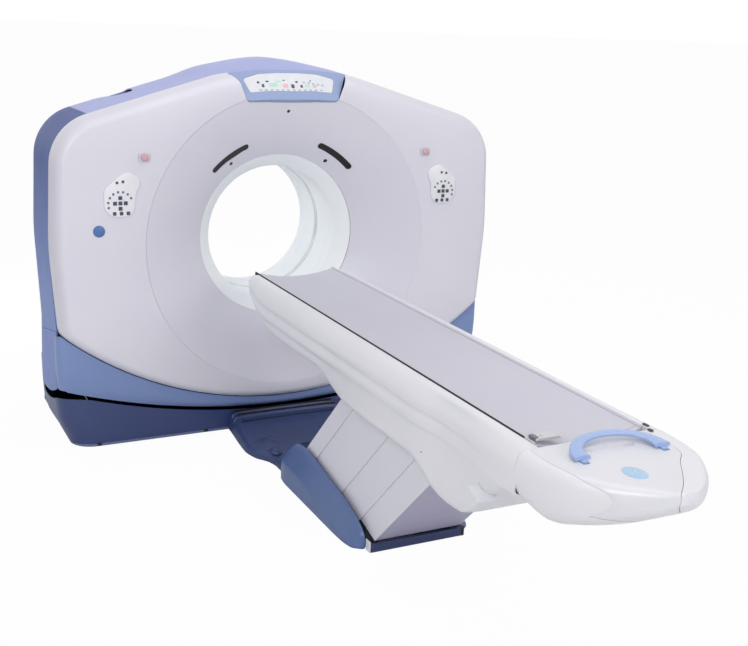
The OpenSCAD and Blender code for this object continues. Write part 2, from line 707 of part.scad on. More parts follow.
// Two treads step down from the gantry, then the cover narrows round the pedestal
bridge_rows = [[bridge_y0, 300, 97], [-450, 302, 106], [-454, 302, 95], [-496, 306, 103], [-500, 306, 90],
    [-556, 312, 88], [-640, 320, 76], [-740, 326, 62], [-830, 310, 58], [-915, 262, 52], [-980, 250, 50],
    [bridge_y1, 250, 50]];

module bridge_cover() {
    color(dark_blue) skin([for (r = back(bridge_rows))
        let (w = r[1] * bridge_hw / 300)
        [for (p = mirrored([[w * 0.5, r[2]], [w - 26, r[2] - 3], [w - 6, r[2] - 20], [w, base_lift]]))
            [p.x, r[0], p.y]]]);
}

// Lift pivots: the line of base pivots, and the edges of the slats measured along the floor
pivot_h = 110;
arm_angle = 45;
arm_y = [-1500, -1900];
slat_edge = [-1175, -1495, -1720, -1890];
slat_pivot_in = 30;
arm_dy = -arm_len * cos(arm_angle);
arm_dz = arm_len * sin(arm_angle);
lug_x = 166;
lug_t = 12;
lug_r = 32;
base_plate_t = 16;
foot_bolt_x = 215;
foot_bolt_y = [-1250, -1810];
foot_bolt_r = 7;

module pivot_bore(y, z, r) {
    translate([-400, y, z]) rotate([0, 90, 0]) cylinder(r = r, h = 800);
}

module table_base_frame() {
    color("#3c4250") difference() {
        union() {
            translate([-foot_hw + 40, foot_y1 + 40, 0])
                cube([2 * foot_hw - 80, foot_y0 - foot_y1 - 80, base_plate_t]);
            translate([-well_hw + 10, foot_y1 - 25, 0]) cube([2 * well_hw - 20, 80, base_plate_t]);
            for (s = [-1, 1], y = arm_y) translate([s > 0 ? lug_x : -lug_x - lug_t, y, 0]) {
                translate([0, -8, base_plate_t]) cube([lug_t, 53, pivot_h - base_plate_t]);
                translate([0, 0, pivot_h]) rotate([0, 90, 0]) cylinder(r = lug_r, h = lug_t);
            }
        }
        for (y = arm_y) pivot_bore(y, pivot_h, pivot_r + run_gap);
        for (s = [-1, 1], y = foot_bolt_y) translate([s * foot_bolt_x, y, -1])
            cylinder(r = foot_bolt_r, h = base_plate_t + 2);
    }
}

// Shell of the foot: low at the floor edge, domed towards the slats, open over the pedestal
foot_rows = [[foot_y0, 0.72, 40, 62], [-1075, 0.88, 86, 104], [-1110, 0.97, 98, 158], [-1190, 1, 104, 200],
    [-1290, 1, 103, 211], [-1420, 1, 92, 193], [-1560, 1, 72, 168], [-1690, 1, 54, 145],
    [-1800, 0.99, 36, 116], [-1870, 0.95, 26, 86], [foot_y1, 0.86, 20, 56]];
well_hw = 226;
foot_wall = 6;
module table_foot_cover() {
    color("#4a5f94") difference() {
        skin([for (r = back(foot_rows)) let (w = foot_hw * r[1])
            [for (p = mirrored([[well_hw * 0.5, r[3] + 1], [min(well_hw - 4, w - 34), r[3]],
                [min(well_hw + 14, w - 20), r[3] - 8], [w - 12, r[2] + 8], [w, r[2] - 12], [w, base_lift]]))
                [p.x, r[0], p.y]]]);
        // the well of the pedestal, and the hollow over the base plate
        translate([-well_hw, foot_y1 - 60, -1]) cube([2 * well_hw, foot_y0 - 90 - foot_y1 + 60, 300]);
        translate([-foot_hw + 36, foot_y1 + 34, -1])
            cube([2 * foot_hw - 72, foot_y0 - foot_y1 - 68, base_plate_t + 3]);
        translate([-well_hw, foot_y0 - 92, -1]) cube([2 * well_hw, 60, 40]);
    }
}

module foot_end_plinth() {
    color("#2c3a66") along_y(foot_y1 - 45, foot_y1 - 27)
        polygon([[-well_hw + 6, base_lift], [well_hw - 6, base_lift], [well_hw - 6, 40], [-well_hw + 6, 40]]);
}

gear_hw = 96;
module lift_gearmotor() {
    color("slategray") difference() {
        union() {
            translate([-gear_hw, arm_y[0] - 55, base_plate_t])
                cube([2 * gear_hw, 130, pivot_h + 55 - base_plate_t]);
            translate([0, arm_y[0] + 74, 70]) rotate([-90, 0, 0]) cylinder(r = 48, h = 170);
        }
        pivot_bore(arm_y[0], pivot_h, pivot_r + run_gap);
    }
}

// ---------- lift arms and slats ----------

// A flat bar from a base pivot to its table pivot
module bar(y, w, over) {
    translate([0, y, pivot_h]) rotate([180 - arm_angle, 0, 0]) translate([0, -over, -w / 2])
        cube([arm_t, arm_len + 2 * over, w]);
}
arm_t = 36;
arm_in_x = 118;
arm_w = 76;
module lift_arms(y, top_r) {
    color("#3c4250") {
        for (s = [-1, 1]) translate([s > 0 ? arm_in_x : -arm_in_x - arm_t, 0, 0]) bar(y, arm_w, 30);
        translate([-lug_x - lug_t, y, pivot_h]) rotate([0, 90, 0])
            cylinder(r = pivot_r, h = 2 * (lug_x + lug_t));
        translate([-lug_x - lug_t, y + arm_dy, pivot_h + arm_dz]) rotate([0, 90, 0])
            cylinder(r = top_r, h = 2 * (lug_x + lug_t));
        translate([-arm_in_x, y + arm_dy / 2, pivot_h + arm_dz / 2]) rotate([0, 90, 0])
            cylinder(r = 24, h = 2 * arm_in_x);
    }
}
module front_lift_arms() {
    lift_arms(arm_y[0], pivot_r);
}
// the rear arms' upper shaft is the linkage's open pivot and has extra room
open_gap = 1;
module rear_lift_arms() {
    lift_arms(arm_y[1], pivot_r - open_gap);
}

slat_x = well_hw - 12;
slat_step = slat_t + 1.5;
slat_low = 60;       // how far the slats reach below their pivots at rest
slat_high = 92;      // and above their upper pivots
function slat_y(k) = slat_edge[k] - pivot_h + slat_pivot_in / sin(arm_angle);
slat_widths = [85, slat_w + 86, slat_w, slat_w];
slat_rise = [60, 85, 58, 58];      // the lower end rises this much towards the gantry
// Outline in (y, z): both long edges run along the arms and the upper end is level at rest
function slat_outline(k) = let (
    low = pivot_h - slat_low, high = pivot_h + arm_dz + slat_high, low1 = low + slat_rise[k],
    e0 = slat_edge[k], e1 = slat_edge[k] + slat_widths[k] / sin(arm_angle),
    slope = 1 / tan(arm_angle))
    [[e0 - low * slope, low], [e1 - low1 * slope, low1],
        [e1 - high * slope, high], [e0 - high * slope, high]];
module slat_pair(k) {
    x = slat_x - k * slat_step;
    color("gainsboro") for (s = [-1, 1]) along_x(s > 0 ? x - slat_t : -x, s > 0 ? x : -x + slat_t)
        polygon(slat_outline(k));
}

end_panel_t = 4;
module pedestal_end_panel() {
    o = slat_outline(3);
    x = slat_x - 3 * slat_step - slat_t - 0.3;
    n = [sin(arm_angle), cos(arm_angle)] * end_panel_t;
    a = o[0] + [0, 0];
    b = o[3] + (o[0] - o[3]) * 0.1;
    color("#9a96ac") along_x(-x, x) polygon([a, a + n, b + n, b]);
}

// ---------- table top ----------

deck_z = cradle_top - 2;
floor_z = cradle_top - 76;         // floor of the cradle's channel
chan_hw = cradle_w / 2 + cradle_gap;
// Along the table: [y, underside height, greatest half width, blend into the nose's section]
tip_y = -610;
cap_y = tip_y - cradle_len + 30;
shell_rows = [[tip_y, 786, 268], [-640, 769, 276], [-680, 743, 284], [-775, 690, 290], [-890, 656, 291],
    [-1100, 648, 291], [-1480, 648, 291], [-1620, 610, 290], [-1760, 580, 290], [-2320, 574, 288],
    [-2400, 540, 282], [-2460, 500, 274], [-2540, 480, 268], [-2640, 486, 268], [-2720, 524, 272],
    [-2800, 598, 279, 0.1], [-2880, 644, 285, 0.4], [-2950, 670, 289, 0.7], [cap_y, 678, 291, 1]];
function lip_z(zb) = max(floor_z - 4, zb + cover_t + 4);
function shell_half(zb, w, m) = let (h = deck_z - zb, k = min(1, h / 200), rib = 10 * (1 - m))
    [[chan_hw, lip_z(zb)], [chan_hw, deck_z], [chan_hw + 30, deck_z], [w - 20, deck_z - 24 * k],
        [w - 4, deck_z - 62 * k], [w - 3, deck_z - 84 * k], [w - 3 - rib, deck_z - 98 * k],
        [w - 4, deck_z - 116 * k], [w - 3, deck_z - 140 * k], [w - 4 - rib * 0.8, deck_z - 158 * k],
        [w - 14, zb + min(22, h * 0.12)] * (1 - m) + [w * 0.9, deck_z - h * 0.84] * m,
        [w - 36, zb] * (1 - m) + [w * 0.66, deck_z - h * 0.98] * m, [90, zb]];
function shell_in(zb, w, m) = let (o = shell_half(zb + cover_t, w - cover_t, m), t = cover_t)
    concat([[chan_hw + 5, lip_z(zb)], [chan_hw + 5, deck_z - t], [chan_hw + 29, deck_z - t]],
        [for (i = [3:len(o) - 1]) [o[i].x, min(o[i].y, deck_z - t - 2 * (i - 2))]]);
function shell_section(r) = let (m = len(r) > 3 ? r[3] : 0, o = shell_half(r[1], r[2], m),
    i = shell_in(r[1], r[2], m), n = len(o))
    [for (p = concat(o, [for (k = [n - 1:-1:0]) [-o[k].x, o[k].y]], [for (k = [0:n - 1]) [-i[k].x, i[k].y]],
        [for (k = [n - 1:-1:0]) i[k]])) [p.x, r[0], p.y]];

// Nose of the table, solid round its edge: [y, underside height, half width]
nose_rows = [[cap_y + 16, 686, 284], [cap_y + 1, 678, 291], [-3060, 665, 289], [-3110, 656, 284],
    [-3190, 680, 264], [-3276, 714, 213], [-3336, 744, 164], [-3382, 774, 112], [-3420, 804, 60],
    [-3440, 828, 26]];
nose_top = deck_z - 2;
module nose_body() {
    skin(back([for (r = nose_rows) let (w = r[2], zb = r[1], h = nose_top - zb, e = min(46, w * 0.5))
        [for (p = mirrored([[w * 0.3, nose_top], [w - e, nose_top], [w - e * 0.3, nose_top - h * 0.09],
            [w, nose_top - h * 0.3], [w - 3, nose_top - h * 0.58], [w * 0.9, nose_top - h * 0.84],
            [w * 0.66, nose_top - h * 0.98], [w * 0.3, zb]])) [p.x, r[0], p.y]]]));
}

// Plan of the end cap set into the nose: straight on the left, curving to the tip on the right
cap_seam = 1;
cap_low = 752;
cap_plan = [[-246, cap_y], [-243, -3107], [-235, -3166], [-218, -3242], [-189, -3300], [-158, -3345],
    [-130, -3500], [-40, -3500], [-32, -3433], [24, -3380], [89, -3297], [130, -3240], [176, -3200],
    [190, -3150], [190, cap_y]];

pan_open = [-1440, -2466];
module table_shell() {
    color("whitesmoke") {
        difference() {
            skin(back([for (r = shell_rows) shell_section(r)]), wall = true);
            translate([-well_hw, pan_open[1], 300]) cube([2 * well_hw, pan_open[0] - pan_open[1], 400]);
        }
        difference() {
            nose_body();
            translate([0, 0, cap_low - cap_seam]) linear_extrude(300)
                offset(delta = cap_seam) polygon(cap_plan);
            translate([-chan_hw - 6, cap_y, cap_low - cap_seam]) cube([2 * chan_hw + 12, 20, 300]);
        }
    }
}

module table_end_cap() {
    color(white) difference() {
        intersection() {
            nose_body();
            translate([0, 0, cap_low]) linear_extrude(300) polygon(cap_plan);
        }
        translate([-170, cap_y - 120, 600]) cube([330, 131, nose_top - 626]);
        // finger scoop under the handle, and the pocket and pin bore of each handle end
        translate([0, handle_y + 66, nose_top - scoop_depth]) {
            translate([-scoop_half, -20, 0]) cube([2 * scoop_half, 40, 30]);
            for (s = [-1, 1]) translate([s * scoop_half, 0, 0]) cylinder(r = 20, h = 30);
        }
        for (s = [-1, 1]) translate([s * handle_x, 0, 0]) {
            translate([-13, pin_y - 16, nose_top - 20]) cube([26, handle_y + 16 - pin_y + 16, 30]);
            translate([-20, pin_y, pin_z]) rotate([0, 90, 0]) cylinder(r = pin_r + run_gap, h = 40);
        }
    }
}

// Arched release handle: a broad strap that lifts about two pins let into the end cap
handle_x = 150;
handle_y = cap_y - 140;
handle_z = nose_top + 9;
handle_rise = 16;
handle_reach = 112;
handle_half = 17;
handle_n = 16;
scoop_half = 70;
scoop_depth = 14;
pin_y = handle_y - 8;
pin_z = nose_top - 10;
pin_r = 5;
module release_handle() {
    color("#a9b9dc") {
        skin([for (k = [0:handle_n]) let (a = 180 * k / handle_n, f = sin(a), x = -handle_x * cos(a),
            y = handle_y + handle_reach * pow(f, 0.85), z = handle_z + handle_rise * f,
            r = handle_half + 12 * pow(1 - f, 2), n = unit([-cos(a), 1.3 * f]))
            [for (q = [[-1, -0.5], [1, -0.5], [1, 0.1], [0.7, 0.5], [-0.7, 0.5], [-1, 0.1]])
                [x + q.x * r * n.x, y + q.x * r * n.y, z + q.y * 15]]]);
        for (s = [-1, 1]) translate([s * handle_x, 0, 0]) {
            translate([-10, pin_y - 7, pin_z - 7]) cube([20, 24, handle_z - pin_z + 8]);
            translate([-19, pin_y, pin_z]) rotate([0, 90, 0]) cylinder(r = pin_r, h = 38);
        }
    }
}

frame_hw = chan_hw - 22;
table_frame_y0 = tip_y - 60;
table_frame_y1 = cap_y + 14;
frame_top = floor_z - 1;
beam_h = 62;
module table_frame() {
    color("#8a8f99") difference() {
        union() {
            translate([-frame_hw, table_frame_y1, frame_top - 8])
                cube([2 * frame_hw, table_frame_y0 - table_frame_y1, 8]);
            for (s = [-1, 1]) {
                translate([s > 0 ? lug_x - 12 : -lug_x - lug_t, table_frame_y1 + 30, frame_top - beam_h])
                    cube([lug_t + 12, table_frame_y0 - table_frame_y1 - 330, beam_h]);
                for (y = arm_y) translate([s > 0 ? lug_x : -lug_x - lug_t, y + arm_dy, pivot_h + arm_dz]) {
                    translate([0, -lug_r, 0]) cube([lug_t, 2 * lug_r, frame_top - pivot_h - arm_dz - 1]);
                    rotate([0, 90, 0]) cylinder(r = lug_r, h = lug_t);
                }
            }
        }
        for (y = arm_y) pivot_bore(y + arm_dy, pivot_h + arm_dz, pivot_r + run_gap);
    }
}

// Hollowed cradle section: a shallow trough on two runners
trough_r = (pow(cradle_w / 2 - 8, 2) + pow(cradle_dip, 2)) / (2 * cradle_dip);
mat_t = 7;
function trough(x, drop) = cradle_top - cradle_dip - drop + trough_r - sqrt(pow(trough_r, 2) - x * x);
trough_n = 8;
module cradle() {
    hw = cradle_w / 2;
    inner = [for (i = [-trough_n:trough_n]) let (x = i * (hw - 9) / trough_n) [x, trough(x, mat_t)]];
    color("#c9c6d2") difference() {
        along_y(tip_y - cradle_len + 60, tip_y + 60) polygon(concat(
            [[-hw, cradle_top], [-hw + 8, cradle_top]], [for (p = inner) [p.x, min(p.y, cradle_top - 1)]],
            [[hw - 8, cradle_top], [hw, cradle_top], [hw, cradle_top - 30], [hw - 30, floor_z + 0.4],
            [hw - 60, floor_z + 0.4], [hw - 72, floor_z + 14], [-hw + 72, floor_z + 14],
            [-hw + 60, floor_z + 0.4], [-hw + 30, floor_z + 0.4], [-hw, cradle_top - 30]]));
        // the underside of the head end rises clear of the tilted gantry
        along_x(-hw - 1, hw + 1) polygon([[tip_y - 50, floor_z - 1], [tip_y + 61, floor_z - 1],
            [tip_y + 61, floor_z + 24], [tip_y - 50, floor_z + 0.2]]);
    }
}

module cradle_mat() {
    hw = cradle_w / 2 - 10;
    function up(i) = let (x = i * hw / trough_n) [x, trough(x, 0)];
    function low(i) = let (x = i * hw / trough_n) [x, trough(x, mat_t) + 0.3];
    color("#bdb9c8") along_y(tip_y - cradle_len + 80, tip_y + 50) polygon(concat(
        [for (i = [-trough_n:trough_n]) up(i)], [for (i = [trough_n:-1:-trough_n]) low(i)]));
}

module cradle_latch() {
    color("silver") translate([-cradle_w / 2 + 12, tip_y - cradle_len + 62, cradle_top + 0.5])
        along_y(0, 46) polygon([[0, 0], [92, 0], [92, 5], [84, 9], [8, 9], [0, 5]]);
}

gantry_base_frame();
tilt_uprights();
trunnion_bearings();
tilt_gearmotor();
base_front_cover();
base_side_covers();
base_rear_cover();
levelling_screws();
bridge_cover();
table_base_frame();
table_foot_cover();
foot_end_plinth();
lift_gearmotor();
tilt_frame();
main_bearing();
front_cover();
lower_front_cover();
side_covers();
top_cover();
rear_cover();
front_funnel();
rear_funnel();
bore_tube();
scan_window();
display_frame();
display_panel();
alignment_windows();
control_pads();
stop_plates();
rotor_drum();
xray_tube();
detector_arc();
generator();
slip_ring();
stop_button(-1);  // left_stop_button
stop_button(1);  // right_stop_button
pad_key(-1, key_places[0]);  // left_up_key
pad_key(-1, key_places[1]);  // left_down_key
pad_key(-1, key_places[3]);  // left_in_key
pad_key(-1, key_places[2]);  // left_out_key
pad_key(-1, key_places[4]);  // left_centre_key
pad_key(1, key_places[0]);  // right_up_key
pad_key(1, key_places[1]);  // right_down_key
pad_key(1, key_places[3]);  // right_in_key
pad_key(1, key_places[2]);  // right_out_key
pad_key(1, key_places[4]);  // right_centre_key
front_lift_arms();
rear_lift_arms();
slat_pair(0);  // slat_pair_1
slat_pair(1);  // slat_pair_2
slat_pair(2);  // slat_pair_3
slat_pair(3);  // slat_pair_4
pedestal_end_panel();
table_frame();
table_shell();
table_end_cap();
release_handle();
cradle();
cradle_mat();
cradle_latch();
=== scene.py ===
"""Finished model of a tilting-gantry tomography scanner with a lifting patient table."""

import json  # noqa: E402
import math  # noqa: E402

import bmesh  # noqa: E402
import bpy  # noqa: E402
import numpy as np  # noqa: E402
from bpy.props import FloatProperty, FloatVectorProperty, IntProperty, PointerProperty  # noqa: E402
from mathutils import Matrix, Vector  # noqa: E402


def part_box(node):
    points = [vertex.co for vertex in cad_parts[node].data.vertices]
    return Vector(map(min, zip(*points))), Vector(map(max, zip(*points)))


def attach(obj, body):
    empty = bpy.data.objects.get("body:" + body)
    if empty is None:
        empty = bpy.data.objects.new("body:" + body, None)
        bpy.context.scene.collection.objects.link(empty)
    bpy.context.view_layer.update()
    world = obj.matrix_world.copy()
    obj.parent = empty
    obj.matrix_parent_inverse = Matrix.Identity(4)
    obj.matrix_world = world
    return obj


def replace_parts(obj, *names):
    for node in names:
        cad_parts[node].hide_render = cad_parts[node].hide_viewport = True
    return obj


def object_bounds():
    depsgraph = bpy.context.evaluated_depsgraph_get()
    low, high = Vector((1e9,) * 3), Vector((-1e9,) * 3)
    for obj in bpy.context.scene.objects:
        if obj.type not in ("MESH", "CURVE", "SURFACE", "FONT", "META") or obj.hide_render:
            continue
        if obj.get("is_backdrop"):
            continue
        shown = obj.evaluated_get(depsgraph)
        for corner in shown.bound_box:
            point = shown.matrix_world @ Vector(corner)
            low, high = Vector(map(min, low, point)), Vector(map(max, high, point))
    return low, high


bl_info = {
    "name": "Tomography scanner",
    "version": (1, 0, 0),
    "blender": (4, 5, 0),
    "location": "View3D > Sidebar > Scanner",
    "description": "Covers, controls, table and finishes of a tilting-gantry scanner",
    "category": "Object",
}

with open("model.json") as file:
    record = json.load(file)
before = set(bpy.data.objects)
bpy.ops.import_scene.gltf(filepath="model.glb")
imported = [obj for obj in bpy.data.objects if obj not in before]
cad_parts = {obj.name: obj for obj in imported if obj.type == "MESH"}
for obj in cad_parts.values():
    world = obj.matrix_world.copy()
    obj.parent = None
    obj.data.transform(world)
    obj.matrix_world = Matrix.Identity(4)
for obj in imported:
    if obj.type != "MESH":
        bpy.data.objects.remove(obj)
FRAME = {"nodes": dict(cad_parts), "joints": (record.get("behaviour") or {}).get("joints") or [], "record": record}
CAD_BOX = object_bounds()

SHARP = 38  # degrees between two faces from which their edge stays sharp
ON_AXIS = 0.0001  # radius that stands for the axis in a turned profile


def box_low(node):
    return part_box(node)[0]


def box_high(node):
    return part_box(node)[1]


def joint_point(name):
    """Pivot of a joint, as a vector in metres."""
    return Vector(next(j["pos_m"] for j in FRAME["joints"] if j["name"] == name))


# ---------- sizes and colours that a user may change ----------


def length(name, description, default, **more):
    return FloatProperty(name=name, description=description, default=default, unit="LENGTH", precision=4, **more)


def colour(name, description, default):
    return FloatVectorProperty(
        name=name, description=description, default=default, subtype="COLOR", size=3, min=0, max=1
    )


class GantrySizes(bpy.types.PropertyGroup):
    """Sizes of the gantry's covers."""

    axis_height: length("Axis height", "Height of the tilt axis", joint_point("gantry_tilt").z)
    half_width: length("Half width", "Half of the width over the covers", box_high("lower_front_cover").x + 0.008)
    half_depth: length("Half depth", "Half of the depth over the faces", -box_low("front_cover").y)
    rim_depth: length("Rim depth", "Depth of the rounded rim of each face", 0.12)
    rim_inset: length("Rim inset", "How far the rounded rim comes in", 0.055)
    wall: length("Wall", "Wall of the moulded covers", 0.006)
    top_rise: length("Top rise", "Top edge of the front cover above the axis", 0.832)
    bottom_drop: length("Bottom drop", "Lowest point of the front cover below the axis", 0.885)
    hump_height: length("Hump height", "Extra height of the hump on top", 0.052)
    funnel_radius: length("Funnel radius", "Outer radius of the funnel", box_high("front_funnel").x + 0.001)
    bore_radius: length("Bore radius", "Radius of the patient bore", box_high("scan_window").x - 0.004)
    tunnel_half: length("Tunnel half", "Half of the bore's straight length", 0.235)
    tilt_gap: length("Tilt gap", "Room between the tilting covers and the base", 0.02)
    outline_points: IntProperty(
        name="Outline points", description="Points round each face cover", default=336, min=96, max=800
    )


class TableSizes(bpy.types.PropertyGroup):
    """Sizes of the patient table."""

    deck_height: length("Deck height", "Height of the table's rails", box_high("table_shell").z)
    cradle_half: length("Cradle half width", "Half of the cradle's width", box_high("cradle").x)
    tip: length("Tip", "Place of the table's gantry end along the bore's axis", box_high("table_shell").y)
    cap_line: length("Cap line", "Place of the end cap's edge along the bore's axis", box_high("table_end_cap").y)
    cradle_dip: length("Cradle dip", "Depth of the cradle's hollow", 0.028)
    wall: length("Wall", "Wall of the table's shell", 0.006)


class ScannerColours(bpy.types.PropertyGroup):
    """Colours of the moulded covers."""

    white: colour("White", "Face cover", (0.715, 0.7, 0.765))
    table_white: colour("Table white", "Shell of the table", (0.77, 0.765, 0.795))
    bore_white: colour("Bore white", "Lining of the bore", (0.9, 0.925, 0.935))
    funnel_grey: colour("Funnel grey", "Funnel round the bore", (0.7, 0.687, 0.752))
    light_blue: colour("Light blue", "Side and top covers", (0.175, 0.24, 0.51))
    band_blue: colour("Band blue", "Lower front cover", (0.195, 0.275, 0.51))
    deep_blue: colour("Deep blue", "Covers of the fixed base", (0.036, 0.058, 0.168))
    foot_blue: colour("Foot blue", "Cover of the table's foot", (0.085, 0.14, 0.31))
    handle_blue: colour("Handle blue", "Release handle", (0.33, 0.45, 0.73))
    slat_grey: colour("Slat grey", "Slats of the pedestal", (0.72, 0.715, 0.77))
    cradle_grey: colour("Cradle grey", "Cradle and its mat", (0.6, 0.588, 0.66))


# ---------- shader maths ----------


class Socket:
    """A node's output that can be written in an expression. Values add Math nodes."""

    def __init__(self, finish, out):
        self.finish = finish
        self.out = out

    def _math(self, operation, *values):
        return self.finish.node("ShaderNodeMath", {"operation": operation}, dict(enumerate(values)))

    def __add__(self, other):
        return self._math("ADD", self, other)

    def __sub__(self, other):
        return self._math("SUBTRACT", self, other)

    def __mul__(self, other):
        return self._math("MULTIPLY", self, other)

    def __truediv__(self, other):
        return self._math("DIVIDE", self, other)

    def __pow__(self, other):
        return self._math("POWER", self, other)

    def __rsub__(self, other):
        return self._math("SUBTRACT", other, self)

    __radd__ = __add__
    __rmul__ = __mul__

    def between(self, low, high):
        """0 below low, 1 above high, and smooth in between."""
        return self.finish.node(
            "ShaderNodeMapRange",
            {"interpolation_type": "SMOOTHSTEP"},
            {"Value": self, "From Min": low, "From Max": high},
        )


class Finish:
    """A procedural material under construction, with its shader as self.shader.

    It starts from a new material, or adds to a finished one.
    """

    def __init__(self, name, material=None):
        self.material = material or bpy.data.materials.new(name)
        self.material.use_nodes = True
        self.tree = self.material.node_tree
        if material:
            self.shader = self.tree.nodes["Principled BSDF"]
            self.place = self.node("ShaderNodeTexCoord", output="Object")
            return
        self.tree.nodes.clear()
        self.out = self.tree.nodes.new("ShaderNodeOutputMaterial")
        self.shader = self.tree.nodes.new("ShaderNodeBsdfPrincipled")
        self.tree.links.new(self.shader.outputs[0], self.out.inputs["Surface"])
        self.place = self.node("ShaderNodeTexCoord", output="Object")

    def node(self, kind, settings=None, values=None, output=0):
        node = self.tree.nodes.new(kind)
        for key, value in (settings or {}).items():
            setattr(node, key, value)
        for key, value in (values or {}).items():
            self.give(node.inputs[key], value)
        return Socket(self, node.outputs[output])

    def give(self, socket, value):
        if isinstance(value, Socket):
            self.tree.links.new(value.out, socket)
        elif isinstance(value, (tuple, list)) and len(value) == 3 and socket.type == "RGBA":
            socket.default_value = (*value, 1)
        else:
            socket.default_value = value

    def set(self, **sockets):
        """Sets the shader's sockets; Base_Color stands for Base Color."""
        for key, value in sockets.items():
            self.give(self.shader.inputs[key.replace("_", " ")], value)
        return self

    def mix(self, share, a, b):
        """Colour a turning into colour b by share."""
        node = self.tree.nodes.new("ShaderNodeMix")
        node.data_type = "RGBA"
        for key, value in ((0, share), (6, a), (7, b)):
            self.give(node.inputs[key], value)
        return Socket(self, node.outputs[2])

    def noise(self, scale, detail=2, roughness=0.5, stretch=(1, 1, 1)):
        """Noise of a scale in features per metre."""
        where = self.place
        if stretch != (1, 1, 1):
            where = self.node("ShaderNodeVectorMath", {"operation": "MULTIPLY"}, {0: self.place, 1: stretch})
        return self.node(
            "ShaderNodeTexNoise",
            values={"Vector": where, "Scale": scale, "Detail": detail, "Roughness": roughness},
        )

    def axis(self, letter):
        """One coordinate of the surface, in metres."""
        return self.node("ShaderNodeSeparateXYZ", values={0: self.place}, output=letter)

    def bump(self, height, depth, under=None):
        """Bump of a height from 0 to 1, that is depth metres deep."""
        values = {"Height": height, "Distance": depth, "Strength": 1.0}
        if under is not None:
            values["Normal"] = under
        return self.node("ShaderNodeBump", values=values)


def tinted(base, factor):
    return tuple(min(1.0, c * f) for c, f in zip(base, factor))


def moulded(name, base, roughness=0.34, grain=0.00012, coat=0.0, dust=0.0):
    """Smooth painted or moulded cover: a fine texture, faint long mottling and handling marks."""
    f = Finish(name)
    clouds = f.noise(2.1, 3).between(0.3, 0.75)
    speck = f.noise(340, 2).between(0.35, 0.8)
    tone = f.mix(clouds * 0.6, tinted(base, (0.965, 0.968, 0.985)), tinted(base, (1.03, 1.03, 1.02)))
    tone = f.mix(speck * 0.1, tone, tinted(base, (0.86, 0.87, 0.9)))
    if dust:
        low = (1 - f.axis("Z").between(0.0, 0.14)) * f.noise(14, 4, 0.6).between(0.42, 0.75)
        tone = f.mix(low * dust, tone, (0.36, 0.36, 0.38))
    smudge = f.noise(7, 4, 0.62).between(0.5, 0.78)
    hairs = f.noise(46, 2, 0.5, (1, 0.12, 6)).between(0.66, 0.74)
    f.set(Base_Color=tone, Roughness=roughness + smudge * 0.09 + hairs * 0.05 - speck * 0.02)
    f.set(Normal=f.bump(f.noise(900, 1), grain, f.bump(f.noise(26, 1), grain * 1.5)), IOR=1.48)
    if coat:
        f.set(Coat_Weight=coat, Coat_Roughness=0.12)
    return f.material


def matt(material, level=0.0):
    """Takes the surface reflection of a finish down to a level."""
    material.node_tree.nodes["Principled BSDF"].inputs["Specular IOR Level"].default_value = level
    return material


def blue_with_painted_shade(name, base, low, high):
    """Moulded blue cover with painted shade: its colour darkens with height between two heights, for the shade on the
    upper sides.
    """
    material = matt(moulded(name, base, 0.5), 0.2)
    f = Finish(name + "_tint", material)
    under = f.shader.inputs["Base Color"].links[0].from_socket
    share = f.axis("Z").between(low, high)
    return f.set(Base_Color=f.mix(share, Socket(f, under), tinted(base, (0.3, 0.34, 0.46)))).material


def painted(name, base, roughness=0.42):
    """Powder-coated steel: orange peel and a few rubbed spots."""
    f = Finish(name)
    peel = f.noise(420, 2)
    clouds = f.noise(5, 3).between(0.3, 0.75)
    rubbed = f.noise(19, 5, 0.7).between(0.66, 0.74)
    tone = f.mix(clouds, tinted(base, (0.92, 0.92, 0.94)), tinted(base, (1.06, 1.06, 1.05)))
    f.set(Base_Color=f.mix(rubbed * 0.3, tone, tinted(base, (1.5, 1.5, 1.45))), Metallic=0.1)
    f.set(Roughness=roughness + peel * 0.1 - rubbed * 0.08, Normal=f.bump(peel, 0.00025))
    return f.material


def machined(name, base, roughness=0.24, stretch=(1, 60, 1)):
    """Bright metal with fine tool marks across one direction."""
    f = Finish(name)
    marks = f.noise(60, 3, 0.6, stretch)
    stain = f.noise(9, 4, 0.6).between(0.45, 0.8)
    f.set(Base_Color=f.mix(stain * 0.5, base, tinted(base, (0.82, 0.83, 0.86))), Metallic=1.0)
    f.set(Roughness=roughness + marks * 0.16 + stain * 0.08, Normal=f.bump(marks, 0.00006))
    return f.material


def cast(name, base, roughness=0.5):
    """Cast or extruded alloy with a sandy skin."""
    f = Finish(name)
    sand = f.noise(260, 4, 0.7)
    stain = f.noise(6, 4, 0.6).between(0.4, 0.8)
    f.set(Base_Color=f.mix(stain * 0.6, base, tinted(base, (0.78, 0.8, 0.84))), Metallic=0.85)
    f.set(Roughness=roughness + sand * 0.15, Normal=f.bump(sand, 0.0003))
    return f.material


def vinyl(name, base):
    """Smooth coated fabric of the mat: a fine leather grain with a soft sheen."""
    f = Finish(name)
    cells = f.node(
        "ShaderNodeTexVoronoi",
        {"feature": "DISTANCE_TO_EDGE"},
        {"Vector": f.place, "Scale": 420.0},
    ).between(0.0, 0.25)
    lie = f.noise(3.2, 3, 0.5, (1, 0.35, 1)).between(0.3, 0.75)
    tone = f.mix(lie * 0.7, tinted(base, (0.955, 0.96, 0.975)), tinted(base, (1.035, 1.03, 1.025)))
    f.set(Base_Color=f.mix((1 - cells) * 0.14, tone, tinted(base, (0.7, 0.7, 0.72))))
    f.set(Roughness=0.46 + (1 - cells) * 0.12 - lie * 0.04, Normal=f.bump(cells, 0.00012))
    return f.material


